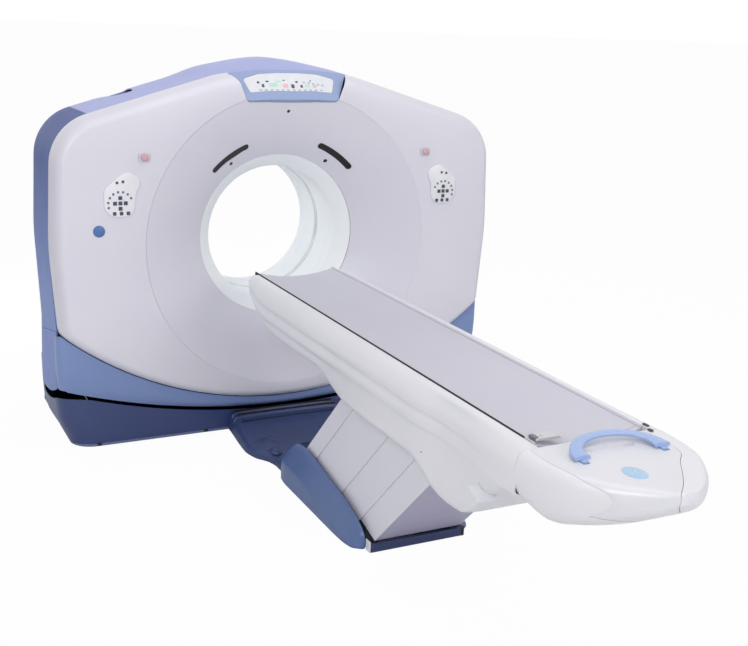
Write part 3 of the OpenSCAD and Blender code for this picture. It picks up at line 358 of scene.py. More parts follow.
def glossy(name, base, roughness=0.1, coat=0.4):
    """Gloss plastic: buttons, badges and dark windows."""
    f = Finish(name)
    clouds = f.noise(30, 3).between(0.35, 0.7)
    prints = f.noise(90, 4, 0.7).between(0.5, 0.72)
    f.set(Base_Color=f.mix(clouds * 0.5, base, tinted(base, (1.12, 1.1, 1.08))))
    f.set(Roughness=roughness + prints * 0.1, Coat_Weight=coat, Coat_Roughness=0.06)
    f.set(Normal=f.bump(clouds, 0.00005))
    return f.material


def window(name):
    """Thin clear plastic ring over the beam's path."""
    f = Finish(name)
    haze = f.noise(12, 3).between(0.3, 0.8)
    f.set(Base_Color=f.mix(haze, (0.78, 0.85, 0.88), (0.84, 0.88, 0.9)), Roughness=0.08 + haze * 0.06)
    f.set(Transmission_Weight=0.25, IOR=1.45)
    return f.material


# ---------- mesh helpers ----------


def add(name, verts, faces, material, sharp=SHARP):
    """A piece from points and faces, with outward normals and smooth shading below the sharp angle."""
    mesh = bpy.data.meshes.new(name)
    bm = bmesh.new()
    made = [bm.verts.new(v) for v in verts]
    for face in faces:
        corners = list(dict.fromkeys(made[i] for i in face))
        if len(corners) > 2:
            bm.faces.new(corners)
    bmesh.ops.remove_doubles(bm, verts=bm.verts, dist=1e-6)
    bmesh.ops.recalc_face_normals(bm, faces=bm.faces)
    bm.to_mesh(mesh)
    bm.free()
    piece = bpy.data.objects.new(name, mesh)
    bpy.context.scene.collection.objects.link(piece)
    dress(piece, material, sharp)
    return piece


def shade(piece, sharp):
    """Shades the piece smooth, but for its sharp edges."""
    piece.data.shade_smooth()
    piece.data.set_sharp_from_angle(angle=math.radians(sharp))


def paint(piece, material):
    """Gives the whole piece one finish."""
    piece.data.materials.clear()
    piece.data.materials.append(material)


def dress(piece, material, sharp=SHARP):
    shade(piece, sharp)
    paint(piece, material)


def loft_faces(rows, around, loop=False, closed=True, caps=True):
    """Quads between neighbouring rows of the same length; closed joins each row's ends."""
    faces = []
    last = around if closed else around - 1
    for i in range(rows if loop else rows - 1):
        a, b = i * around, (i + 1) % rows * around
        faces += [(a + j, b + j, b + (j + 1) % around, a + (j + 1) % around) for j in range(last)]
    if caps and not loop:
        faces.append(tuple(range(around)))
        faces.append(tuple((rows - 1) * around + j for j in reversed(range(around))))
    return faces


def loft(name, rows, material, loop=False, closed=True, caps=True, sharp=SHARP):
    rows = [list(r) for r in rows]
    verts = [p for row in rows for p in row]
    return add(name, verts, loft_faces(len(rows), len(rows[0]), loop, closed, caps), material, sharp)


def turns(steps):
    """Evenly spaced angles of one whole turn."""
    return [math.tau * k / steps for k in range(steps)]


def turned(name, profile, material, centre, axis="Y", steps=192, sharp=SHARP):
    """Turns a closed profile of (radius, place along the axis) about an axis through centre."""
    place = {
        "X": lambda r, a, c, s: (a, r * c, r * s),
        "Y": lambda r, a, c, s: (r * c, a, r * s),
        "Z": lambda r, a, c, s: (r * c, r * s, a),
    }[axis]
    rows = []
    for angle in turns(steps):
        c, s = math.cos(angle), math.sin(angle)
        rows.append([Vector(centre) + Vector(place(r, a, c, s)) for r, a in profile])
    return loft(name, rows, material, loop=True, sharp=sharp)


def plate(name, outline, low, high, place, material, sharp=SHARP):
    """A plate from a closed outline between two heights; place turns (u, v, height) into a point."""
    rows = [[place(u, v, h) for u, v in outline] for h in (low, high)]
    return loft(name, rows, material, sharp=sharp)


def lying(u, v, h):
    """Place for a plate that lies flat, with its thickness upward."""
    return (u, v, h)


def facing(u, v, h):
    """Place for a plate that stands across the bore, with its thickness along it."""
    return (u, h, v)


def across(u, v, h):
    """Place for a plate that stands along the bore, with its thickness from side to side."""
    return (h, u, v)


def soften(piece, width, segments=3, angle=32):
    """Rounds the sharp edges."""
    bevel = piece.modifiers.new("soft_edges", "BEVEL")
    bevel.width = width
    bevel.segments = segments
    bevel.limit_method = "ANGLE"
    bevel.angle_limit = math.radians(angle)
    bevel.harden_normals = True
    return piece


def settle(piece):
    """Applies the modifiers to the piece's own mesh."""
    graph = bpy.context.evaluated_depsgraph_get()
    mesh = bpy.data.meshes.new_from_object(piece.evaluated_get(graph))
    piece.modifiers.clear()
    piece.data = mesh
    return piece


def cut(piece, *cutters, operation="DIFFERENCE", sharp=SHARP, solver="EXACT"):
    """Takes the cutters' volume out of the piece, or keeps only what they share, and removes them."""
    for cutter in cutters:
        hole = piece.modifiers.new("opening", "BOOLEAN")
        hole.operation = operation
        hole.solver = solver
        hole.object = cutter
    settle(piece)
    if not piece.data.polygons:
        raise RuntimeError(f"the openings left nothing of {piece.name}")
    for cutter in cutters:
        bpy.data.objects.remove(cutter)
    shade(piece, sharp)
    return piece


def joined(name, pieces):
    """One piece from several that share a material."""
    bm = bmesh.new()
    for piece in pieces:
        settle(piece)
        bm.from_mesh(piece.data)
    first = pieces[0]
    bm.to_mesh(first.data)
    bm.free()
    for piece in pieces[1:]:
        bpy.data.objects.remove(piece)
    first.name = name
    return first


def gathered(name, pieces, material, sharp=SHARP):
    """One finished piece from several."""
    whole = joined(name, pieces)
    dress(whole, material, sharp)
    return whole


def mirrored_piece(piece):
    """Adds the piece's mirror image across the middle plane to its own mesh."""
    bm = bmesh.new()
    bm.from_mesh(piece.data)
    copy = bmesh.ops.duplicate(bm, geom=bm.verts[:] + bm.edges[:] + bm.faces[:])["geom"]
    verts = [v for v in copy if isinstance(v, bmesh.types.BMVert)]
    bmesh.ops.scale(bm, vec=(-1, 1, 1), verts=verts)
    bmesh.ops.reverse_faces(bm, faces=[f for f in copy if isinstance(f, bmesh.types.BMFace)])
    bm.to_mesh(piece.data)
    bm.free()
    return piece


def rounded(corners, steps):
    """A closed outline of (u, v, radius) corners, each turned into an arc."""
    out = []
    for i, (u0, v0, radius) in enumerate(corners):
        p = Vector((u0, v0))
        if not radius:
            out.append((u0, v0))
            continue
        a, b = Vector(corners[i - 1][:2]), Vector(corners[(i + 1) % len(corners)][:2])
        to_a, to_b = (a - p).normalized(), (b - p).normalized()
        half = math.acos(max(-1, min(1, to_a.dot(to_b)))) / 2
        centre = p + (to_a + to_b).normalized() * (radius / math.sin(half))
        start, end = p + to_a * (radius / math.tan(half)) - centre, p + to_b * (radius / math.tan(half)) - centre
        turn = math.copysign(math.pi - 2 * half, start.x * end.y - start.y * end.x)
        for k in range(steps + 1):
            out.append(tuple(centre + Matrix.Rotation(turn * k / steps, 2) @ start))
    return out


def tile(u0, u1, v0, v1, radii, steps):
    """Outline of a rectangle with rounded corners; radii is one radius, or four from the upper right one on."""
    a, b, c, d = radii if isinstance(radii, tuple) else (radii,) * 4
    return rounded([(u1, v1, a), (u1, v0, b), (u0, v0, c), (u0, v1, d)], steps)


def both_halves(half):
    """Adds the mirror image of a right half outline."""
    return list(half) + [(-p[0], *p[1:]) for p in reversed(half)]


def evenly(points, count, closed=True):
    """Resamples a polyline to evenly spaced points."""
    p = np.array(list(points) + ([points[0]] if closed else []), float)
    far = np.concatenate([[0], np.cumsum(np.linalg.norm(np.diff(p, axis=0), axis=1))])
    at = np.linspace(0, far[-1], count + 1 if closed else count)
    if closed:
        at = at[:-1]
    return np.stack([np.interp(at, far, p[:, k]) for k in range(p.shape[1])], axis=1)


def normals_of(points, closed=True):
    """Outward unit normals of an outline that runs clockwise."""
    p = np.array(points, float)
    ahead, behind = np.roll(p, -1, 0), np.roll(p, 1, 0)
    if not closed:
        ahead[-1], behind[0] = p[-1], p[0]
    d = ahead - behind
    d /= np.linalg.norm(d, axis=1)[:, None]
    return np.stack([-d[:, 1], d[:, 0]], axis=1)


def smooth_rows(keys, values, at):
    """Monotone cubic through key rows of numbers, at the given places."""
    keys, values, at = (np.asarray(a, float) for a in (keys, values, at))
    if keys[0] > keys[-1]:
        keys, values = keys[::-1], values[::-1]
    gap = np.diff(keys)[:, None]
    rise = np.diff(values, axis=0) / gap
    slope = np.vstack([rise[:1], np.zeros_like(rise[:-1]), rise[-1:]])
    same = rise[:-1] * rise[1:] > 0
    total = np.where(same, rise[:-1] + rise[1:], 1)
    slope[1:-1] = np.where(same, 2 * rise[:-1] * rise[1:] / total, 0)
    i = np.clip(np.searchsorted(keys, at, side="right") - 1, 0, len(keys) - 2)
    t = ((at - keys[i]) / (keys[i + 1] - keys[i]))[:, None]
    start, end = values[i] * (1 + 2 * t) * (1 - t) ** 2, values[i + 1] * t * t * (3 - 2 * t)
    return start + end + gap[i] * (slope[i] * t * (1 - t) ** 2 + slope[i + 1] * t * t * (t - 1))


def spaced(a, b, count):
    """Places from a to b, both included, in count equal steps."""
    return [a + (b - a) * k / count for k in range(count + 1)]


# ---------- outlines of the gantry, relative to the tilt axis ----------

OUTLINE_HALF = 1.172  # half width at which the outline's own sizes hold
ARC_RADIUS = 1.766  # radius of the white cover's lower edge at that half width
ARC_ABOVE = 0.05  # lowest point of that edge, over the bottom of the covers
BOTTOM_RISE = 0.202  # rise of the covers' bottom from the middle to the sides
SWEEP_ROOM = 0.008
RIM_STEPS = 12
UPRIGHT_IN = 0.162  # inner face of each upright, in from the covers' half width
UPRIGHT_ROOM = 0.018
CORNER_IN = 0.024  # lower corners of the face, in from the covers' half width
NOTCH_DROP = 0.365  # top of the rear cover's clearance for the uprights, below the axis
TAPER_FROM = 0.04  # depth about which the sides begin to draw in
TAPER_EASE = 0.05  # how gently they begin
TAPER = 0.24  # how much they draw in along the depth


def rim_start(g):
    return g.half_depth - g.rim_depth


def cover_end(g):
    """Where the side and top covers end, just short of each face's rim."""
    return rim_start(g) - 0.004


def corner_x(g):
    return g.half_width - CORNER_IN


def tuck(y):
    """How far the covers' sides have drawn in at depth y; they do so behind the tilt axis."""
    behind = y - TAPER_FROM
    return TAPER * (math.hypot(behind, TAPER_EASE) + behind) / 2


def drawn_in(g, x, z, y):
    """An outline's point about the tilt axis, drawn in as it is at depth y."""
    narrow = 1 - tuck(y) / g.half_width
    return x * narrow, z * (narrow if z > 0 else 1)


def bottom_z(g, x):
    """Bottom edge of the tilting covers at x."""
    return -g.bottom_drop + BOTTOM_RISE * (x / g.half_width) ** 2


def sweep_radius(g, x):
    """Radius about the tilt axis that the tilting covers stay within at x."""
    return math.hypot(rim_start(g), bottom_z(g, min(abs(x), g.half_width))) + SWEEP_ROOM


def base_top(g, x, y):
    """Top edge of the fixed base at x, y."""
    reach = sweep_radius(g, x) + g.tilt_gap
    return g.axis_height - math.sqrt(max(1e-6, reach * reach - y * y))


def arc_z(g, x):
    """Where the white cover meets the blue lower cover."""
    r = ARC_RADIUS * g.half_width / OUTLINE_HALF
    return r - (g.bottom_drop - ARC_ABOVE) - math.sqrt(max(1e-6, r * r - x * x))


def right_side(g, steps=18):
    """Right half of the face from the top shoulder down and round the lower corner."""
    kx, top, half = g.half_width / OUTLINE_HALF, g.top_rise, g.half_width
    corner = corner_x(g)
    inner = corner - 0.06
    ring = rounded(
        [
            (0.33 * kx, top - 0.01, 0.42),
            (half - 0.022, top - 0.255, 0.25),
            (half + 0.003, 0.02, 1.5),
            (corner - 0.002, arc_z(g, corner), 0.072),
            (inner, arc_z(g, inner), 0),
            (-half, 0.02, 0),
            (-half + 0.022, top - 0.255, 0),
            (-0.33 * kx, top - 0.01, 0),
        ],
        steps,
    )
    return [p for p in ring if p[0] > 0]


def crown(g):
    """Top of the face on the middle plane."""
    return (0.0, g.top_rise + 0.003)


def closed_outline(half):
    """A closed outline from its right half, whose first and last points lie on the middle."""
    return half + [(-x, z) for x, z in reversed(half[1:-1])]


def open_outline(half):
    """An outline from its right half, of which only the first point lies on the middle."""
    return half + [(-x, z) for x, z in reversed(half[1:])]


def white_outline(g):
    side = right_side(g)
    arc = [(x, arc_z(g, x)) for x in spaced(side[-1][0], 0, 44)[1:]]
    half = [crown(g)] + side + arc
    return evenly(closed_outline(half), g.outline_points)


def rear_outline(g):
    corner = corner_x(g)
    corner_z = arc_z(g, corner)
    low = [(x, bottom_z(g, x) + 0.004) for x in spaced(g.half_width - 0.06, 0, 24)]
    turn_in = [(corner + 0.004, corner_z - 0.04), (corner + 0.008, bottom_z(g, g.half_width) + 0.06)]
    side = [p for p in right_side(g) if p[1] > corner_z + 0.02]
    half = [drawn_in(g, x, z, rim_start(g)) for x, z in [crown(g)] + side + turn_in + low]
    return evenly(closed_outline(half), g.outline_points)


def face_rows(g, outline, face):
    """Sections of a face cover round its outline; face is -1 in front and 1 behind."""
    rows = []
    angles = [math.pi / 2 * k / RIM_STEPS for k in range(RIM_STEPS + 1)]
    hole_edge = ((0.0016, 0), (0.0005, 0.0005), (0, 0.0016), (0, g.wall))
    for (x, z), (nx, nz) in zip(outline, normals_of(outline)):
        row = []
        for a in angles:
            inset = g.rim_inset * (1 - math.cos(a))
            y = face * (rim_start(g) + g.rim_depth * math.sin(a))
            row.append((x - nx * inset, y, g.axis_height + z - nz * inset))
        turn = math.atan2(z, x)
        for out, back in hole_edge:
            r = g.funnel_radius + out
            depth = face * (g.half_depth - back)
            row.append((r * math.cos(turn), depth, g.axis_height + r * math.sin(turn)))
        for k, a in reversed(list(enumerate(angles))):
            inset = g.rim_inset * (1 - math.cos(a)) + g.wall
            y = face * (rim_start(g) + (g.rim_depth - (g.wall if k else 0)) * math.sin(a))
            row.append((x - nx * inset, y, g.axis_height + z - nz * inset))
        rows.append(row)
    return rows


# ---------- display on the slope above the bore ----------

SLOPE = math.radians(55)
FRAME_LENGTH = 0.174  # up the slope
FRAME_THICK = 0.026
PANEL_THICK = 0.004


def on_slope(g):
    """Turns (across, up the slope, out of it) into a point."""
    low_y, low_z = -g.half_depth - 0.004, g.axis_height + g.top_rise - 0.135

    def place(u, v, h):
        c, s = math.cos(SLOPE), math.sin(SLOPE)
        return (u, low_y + v * c - h * s, low_z + v * s + h * c)

    return place


def frame_outline(grow, steps=8):
    top = FRAME_LENGTH + grow
    half = [(0.06, top + 0.002, 0), (0.16, top - 0.002, 0), (0.312 + grow, top - 0.018, 0.008)]
    return rounded(both_halves(half + [(0.238 + grow, -grow, 0.024), (0.12, 0.007 - grow, 0)]), steps)


def window_outline(grow, steps=8):
    top = FRAME_LENGTH + grow
    half = [(0.06, top - 0.018, 0), (0.15, top - 0.024, 0), (0.24 + grow, top - 0.052, 0.014)]
    return rounded(both_halves(half + [(0.214 + grow, 0.046 - grow, 0.01), (0.12, 0.054 - grow, 0)]), steps)


# ---------- bore ----------

LIP = 0.76  # share of the flare where the funnel ends and the white lining begins
LIP_GAP = 0.008  # share of the flare that is left open there
SLOT_SHARE = 0.508  # share of the flare at which the alignment slots lie
SLOT_WIDTH = 0.03
SLOT_FROM = math.radians(23.5)  # from the top
SLOT_TO = math.radians(45.6)


def bell(g, t):
    """Point (radius, depth from the axis) of the flared wall; t runs from the face into the bore."""
    a = Vector((g.funnel_radius - 0.0004, g.half_depth))
    b = Vector((g.bore_radius + 0.12, g.half_depth - 0.1))
    c = Vector((g.bore_radius, g.tunnel_half))
    return a * (1 - t) ** 2 + b * 2 * t * (1 - t) + c * t * t


def bell_line(g, t0, t1, behind=0.0, count=40):
    out = []
    for t in spaced(t0, t1, count):
        d = (bell(g, min(1, t + 1e-3)) - bell(g, t - 1e-3)).normalized()
        out.append(bell(g, t) + Vector((-d.y, d.x)) * behind)
    return out


def bell_depth(g, radius):
    """Depth of the flared wall at a radius."""
    line = [bell(g, t) for t in spaced(1, 0, 200)]
    return float(np.interp(radius, [p.x for p in line], [p.y for p in line]))


def slot_shape(g, grow, side, steps=24):
    """Outline of one alignment slot as (x, z) about the axis; side is -1 or 1."""
    r0 = bell(g, SLOT_SHARE).x
    w = SLOT_WIDTH / 2 + grow
    arc = [(r0 + w, a) for a in spaced(SLOT_FROM, SLOT_TO, steps)]
    arc += [(r0 - w, a) for a in spaced(SLOT_TO, SLOT_FROM, steps)]
    points = [(r * math.sin(a), r * math.cos(a)) for r, a in arc]
    ends = []
    for a, first in ((SLOT_TO, steps + 1), (SLOT_FROM, 2 * steps + 2)):
        centre = Vector((r0 * math.sin(a), r0 * math.cos(a)))
        start = Vector(points[first - 1]) - centre
        ends.append((first, [tuple(centre + Matrix.Rotation(-math.pi * k / 10, 2) @ start) for k in range(1, 10)]))
    for first, bow in reversed(ends):
        points[first:first] = bow
    return [(side * x, z) for x, z in points]


def along_bore(g):
    """Turns (x, height over the axis, depth in front of it) into a point."""
    return lambda u, v, h: (u, -h, g.axis_height + v)


def on_bell(g, x, z, proud=0.0):
    """Point on the front funnel at (x, z) about the axis, proud metres in front of it."""
    return (x, -(bell_depth(g, math.hypot(x, z)) + proud), g.axis_height + z)


class PieceOperator(bpy.types.Operator):
    """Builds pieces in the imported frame."""

    bl_options = {"REGISTER", "UNDO"}

    def execute(self, context):
        scene = context.scene
        self.build(scene.scanner_gantry, scene.scanner_table, scene.scanner_colours)
        return {"FINISHED"}


class SCANNER_OT_front_cover(PieceOperator):
    """Build the white face cover with its rounded rim and the pocket of the display"""

    bl_idname = "scanner.front_cover"
    bl_label = "Front cover"

    def build(self, g, t, c):
        white = moulded("cover_white", c.white, 0.36)
        cover = loft("face_shell", face_rows(g, white_outline(g), -1), white, loop=True)
        pocket = plate("display_pocket", frame_outline(0.001), -FRAME_THICK - 0.001, 0.1, on_slope(g), white)
        cut(cover, pocket, sharp=30)
        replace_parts(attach(cover, "gantry"), "front_cover")


class SCANNER_OT_rear_cover(PieceOperator):
    """Build the blue rear face cover with slots that clear the uprights"""

    bl_idname = "scanner.rear_cover"
    bl_label = "Rear cover"

    def build(self, g, t, c):
        blue = moulded("rear_blue", c.band_blue, 0.38)
        cover = loft("rear_shell", face_rows(g, rear_outline(g), 1), blue, loop=True)
        inner = g.half_width - UPRIGHT_IN - UPRIGHT_ROOM
        low, high = rim_start(g) - 0.02, 2 * g.half_depth
        top = g.axis_height - NOTCH_DROP
        slots = []
        for side in (-1, 1):
            near, far = side * inner, side * g.half_width * 1.2
            shape = rounded([(near, 0.0, 0), (near, top, 0.03), (far, top, 0), (far, 0.0, 0)], 8)
            slots.append(plate("upright_slot", shape, low, high, facing, blue))
        # The exact solver leaves nothing of this shell.
        cut(cover, *slots, solver="MANIFOLD")
        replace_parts(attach(cover, "gantry"), "rear_cover")


TUCK_FROM = 0.36  # share of its height from which the lower cover turns under


class SCANNER_OT_lower_cover(PieceOperator):
    """Build the blue lower front cover that turns under and round both corners"""

    bl_idname = "scanner.lower_cover"
    bl_label = "Lower front cover"
    corner: length("Corner", "Radius of the cover's corners", 0.048)
    tuck: length("Tuck", "How far the lower edge turns under", 0.034)

    def path(self, g):
        """Plan path as (x, y, normal x, normal y)."""
        front, r, edge = g.half_depth - 0.055, self.corner, g.half_width - 0.008
        left = [(-edge, y, -1, 0) for y in spaced(-rim_start(g) - 0.003, -front + r, 3)[:-1]]
        for k in range(17):
            a = math.radians(180 - 90 * k / 16)
            left.append((-edge + r + r * math.cos(a), -front + r - r * math.sin(a), math.cos(a), -math.sin(a)))
        middle = [(x, -front, 0, -1) for x in spaced(-edge + r, edge - r, 60)[1:-1]]
        return left + middle + [(-x, y, -nx, ny) for x, y, nx, ny in reversed(left)]

    def build(self, g, t, c):
        corner = corner_x(g)
        heights = spaced(0, 1, 26)
        rows = []
        for x, y, nx, ny in self.path(g):
            top = g.axis_height + min(arc_z(g, min(abs(x), corner)), arc_z(g, corner)) - 0.005 + 0.009 * ny * ny
            low = g.axis_height + bottom_z(g, x)
            turn = 1 - 0.7 * nx * nx

            def point(share, behind):
                inset = self.tuck * max(0, (share - TUCK_FROM) / (1 - TUCK_FROM)) ** 2.3 * turn + behind
                if share < 0.02:
                    inset += 0.0015
                return (x - nx * inset, y - ny * inset, top + (low - top) * share)

            rows.append([point(s, 0) for s in heights] + [point(s, g.wall) for s in reversed(heights)])
        blue = moulded("band_blue", c.band_blue, 0.33, coat=0.12)
        band = loft("lower_band", rows, blue, sharp=42)
        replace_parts(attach(soften(band, 0.0012, 2, 50), "gantry"), "lower_front_cover")


HUMP_HALF = 0.52
HUMP_FADE = 0.72  # share of the depth over which the hump rises from each face
SHOULDER_X = 0.9  # the side covers begin here and the top cover ends
SEAM = 0.003  # between the side covers and the top cover
INLET_SHARES = (-1.2, 1.5)  # front and back of each air inlet's inner end, as shares of its reach


def side_points(g):
    corner_z = arc_z(g, corner_x(g))
    shoulder = SHOULDER_X * g.half_width / OUTLINE_HALF
    return [p for p in right_side(g) if p[1] > corner_z + 0.04 and p[0] > shoulder]


class SCANNER_OT_side_covers(PieceOperator):
    """Build the two light blue side covers, each with a panel seam near its foot"""

    bl_idname = "scanner.side_covers"
    bl_label = "Side covers"
    seam_front: length("Seam height", "Height of the panel seam at the front, above the floor", 0.6)
    seam_fall: FloatProperty(name="Seam fall", description="Fall of the seam along the depth", default=0.155)

    def build(self, g, t, c):
        side = evenly(side_points(g), 90, closed=False)
        normal = normals_of(side, closed=False)
        end = cover_end(g)
        corner = corner_x(g)
        reach = sweep_radius(g, g.half_width) - SWEEP_ROOM
        seam_lips = ((0.0016, 0.0), (0.0008, 0.0026), (-0.0008, 0.0026), (-0.0016, 0.0))
        rows = []
        for y in spaced(-end, end, 30):
            low = 0.004 - math.sqrt(reach * reach - y * y)
            seam = self.seam_front - self.seam_fall * (y + end) / (2 * end) - g.axis_height

            def contour(inset):
                outer = [(x - nx * inset, z - nz * inset) for (x, z), (nx, nz) in zip(side, normal)]
                foot = [(g.half_width - 0.01 - inset, low + 0.06), (g.half_width - 0.016 - inset, low)]
                line = outer + [(corner + 0.005 - inset, arc_z(g, corner) - 0.01)] + foot
                line = [(float(x), float(z)) for x, z in evenly(line, 110, closed=False)]
                above = [p for p in line if p[1] > seam + 0.004]
                below = [p for p in line if p[1] < seam - 0.004][-(109 - len(above)) :]
                at_x = float(np.interp(seam, [p[1] for p in reversed(line)], [p[0] for p in reversed(line)]))
                groove = [(at_x - deep, seam + up) for up, deep in seam_lips]
                return above, groove, below

            above, groove, below = contour(0.0)
            rows.append((y, above, groove, below, contour(g.wall)))
        count_above = min(len(r[1]) for r in rows)
        count_below = min(len(r[3]) for r in rows)
        lofted = []
        for y, above, groove, below, (in_above, _, in_below) in rows:
            outer = list(map(tuple, evenly(above, count_above, False))) + groove
            outer += list(map(tuple, evenly(below, count_below, False)))
            inner = list(map(tuple, evenly(in_above + in_below, len(outer), False)))
            drawn = [drawn_in(g, x, z, y) for x, z in outer + inner[::-1]]
            lofted.append([(x, y, g.axis_height + z) for x, z in drawn])
        # Painted shade: the side covers' blue darkens toward their top, where less light falls on them.
        blue = blue_with_painted_shade("side_blue", tinted(c.light_blue, (1.15, 1.15, 1.1)), 0.7, 1.75)
        covers = mirrored_piece(loft("side_shells", lofted, blue, sharp=42))
        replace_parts(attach(covers, "gantry"), "side_covers")


class SCANNER_OT_top_cover(PieceOperator):
    """Build the light blue top cover with its hump and the two recessed air inlets"""

    bl_idname = "scanner.top_cover"
    bl_label = "Top cover"
    inlet_from: length("Inlet start", "Inner end of each air inlet from the middle", 0.68)
    inlet_to: length("Inlet end", "Outer end of each air inlet from the middle", 0.875)
    inlet_half: length("Inlet reach", "Reach of each air inlet along the bore, before its two shares", 0.2)

    def line(self, g):
        shoulder = Vector(side_points(g)[0])
        up = [Vector(p) for p in right_side(g) if p[1] > shoulder.y + 0.001]
        last = shoulder + (up[-1] - shoulder).normalized() * SEAM
        half = [crown(g)] + [tuple(p) for p in up] + [tuple(last)]
        half = [tuple(p) for p in evenly(half, 60, closed=False)]
        return [(-x, z) for x, z in reversed(half[1:])] + half

    def hump(self, g, x, y):
        if abs(x) > HUMP_HALF:
            return 0.0
        fade = min(1, (rim_start(g) - abs(y)) / (rim_start(g) * HUMP_FADE))
        return g.hump_height * math.cos(math.pi / 2 * x / HUMP_HALF) ** 2 * math.sin(math.pi / 2 * fade)

    def build(self, g, t, c):
        end = cover_end(g)
        line = self.line(g)
        under = [(x - nx * g.wall, z - nz * g.wall) for (x, z), (nx, nz) in zip(line, normals_of(line, closed=False))]
        rows = []
        for y in spaced(-end, end, 44):
            hump = [self.hump(g, x, y) for x, z in line]
            outer, inner = ([drawn_in(g, x, z, y) for x, z in part] for part in (line, under))
            rows.append([(x, y, g.axis_height + z + h) for (x, z), h in zip(outer, hump)])
            rows[-1] += [(x, y, g.axis_height + z + h) for (x, z), h in reversed(list(zip(inner, hump)))]
        blue = matt(moulded("top_blue", tinted(c.light_blue, (2.3, 1.8, 1.4)), 0.5), 0.25)
        cover = loft("top_shell", rows, blue, sharp=42)
        inlets, trays = [], []
        for side in (-1, 1):
            a, b = Vector((self.inlet_from, 0)), Vector((self.inlet_to, 0))
            for p in (a, b):
                p.y = float(np.interp(p.x, [q[0] for q in line], [q[1] for q in line]))
            slope = (b - a).normalized()
            out = Vector((-slope.y, slope.x))

            def place(u, v, h):
                p = (a + b) / 2 + slope * u + out * h
                x, z = drawn_in(g, p.x, p.y, v)
                return (side * x, v, g.axis_height + z)

            half = (b - a).length / 2
            front, back = (share * self.inlet_half for share in INLET_SHARES)
            shape = rounded([(half, back, 0.03), (half, 0.1, 0.03), (-half, front, 0.05), (-half, back, 0.05)], 8)
            inlets.append(plate("inlet_hole", shape, -0.05, 0.05, place, blue))
            tray = [(u * 1.03, v * 1.03) for u, v in shape]
            trays.append(plate("inlet_tray", tray, -0.012, -0.0055, place, blue))
        cut(cover, *inlets)
        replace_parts(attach(cover, "gantry"), "top_cover")
        # Painted shade: the trays under the inlet holes are a dark violet for the shade inside the recessed inlets.
        violet = moulded("inlet_violet", (0.085, 0.08, 0.3), 0.5)
        inlet_shade_trays = gathered("air_inlet_trays", trays, violet)
        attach(inlet_shade_trays, "gantry")


class SCANNER_OT_bore(PieceOperator):
    """Build both funnels, the white lining, the scan window and the alignment windows"""

    bl_idname = "scanner.bore"
    bl_label = "Bore"
    ring_at: length("Ring", "Depth of the joint ring inside the lining", 0.16)

    def funnel(self, g, name, face, grey):
        visible = bell_line(g, 0, LIP)
        behind = bell_line(g, 0.03, LIP, g.wall)
        flange = Vector((g.funnel_radius - 0.001, g.half_depth - g.wall - 0.002))
        profile = [(p.x, face * p.y) for p in visible + behind[::-1] + [flange]]
        return turned(name, profile, grey, (0, 0, g.axis_height), steps=240, sharp=34)

    def lining(self, g, face, white):
        line = bell_line(g, LIP + LIP_GAP, 1)
        lip = [line[0] + Vector((0.0015, -0.0005))] + line[1:]
        ring = [Vector((g.bore_radius + deep, self.ring_at + at)) for at, deep in
                ((0.002, 0), (0.001, 0.0016), (-0.001, 0.0016), (-0.002, 0))]
        end = box_high("scan_window").y + 0.0005
        tail = [Vector((g.bore_radius, end)), Vector((g.bore_radius + g.wall, end))]
        back = bell_line(g, LIP + LIP_GAP, 1, g.wall)[::-1]
        profile = [(p.x, face * p.y) for p in lip + ring + tail + back]
        return turned("lining", profile, white, (0, 0, g.axis_height), steps=192, sharp=34)

    def window(self, g, side, dark):
        """Dark window that lies just under the funnel's surface in its slot."""
        shape = slot_shape(g, -0.0006, side)
        rows = []
        for sink in (0.0015, 0.005):
            rows.append([on_bell(g, x, z, -sink) for x, z in shape])
        return loft("window", rows, dark)

    def build(self, g, t, c):
        grey = moulded("funnel_grey", c.funnel_grey, 0.4)
        white = moulded("bore_white", c.bore_white, 0.6)
        dark = glossy("window_black", (0.006, 0.006, 0.009), 0.4, 0.05)
        front = self.funnel(g, "front_flare", -1, grey)
        front_depth = bell(g, SLOT_SHARE).y
        holes = [plate("slot", slot_shape(g, 0, s), front_depth - 0.05, front_depth + 0.05, along_bore(g), grey)
                 for s in (-1, 1)]
        holes.append(plate("pocket", frame_outline(0.001), -FRAME_THICK - 0.002, 0.1, on_slope(g), grey))
        cut(front, *holes, sharp=34)
        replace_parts(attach(front, "gantry"), "front_funnel")
        rear = self.funnel(g, "rear_flare", 1, grey)
        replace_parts(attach(rear, "gantry"), "rear_funnel")
        tube = gathered("bore_lining", [self.lining(g, s, white) for s in (-1, 1)], white, 34)
        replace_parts(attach(tube, "gantry"), "bore_tube")
        panes = gathered("slot_panes", [self.window(g, s, dark) for s in (-1, 1)], dark)
        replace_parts(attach(panes, "gantry"), "alignment_windows")
        r = g.bore_radius
        end = box_high("scan_window").y
        ring = [(r + 0.001, end), (r + 0.001, -end), (r + 0.004, -end), (r + 0.004, end)]
        pane = turned("scan_pane", ring, window("scan_window_clear"), (0, 0, g.axis_height))
        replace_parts(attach(pane, "gantry"), "scan_window")


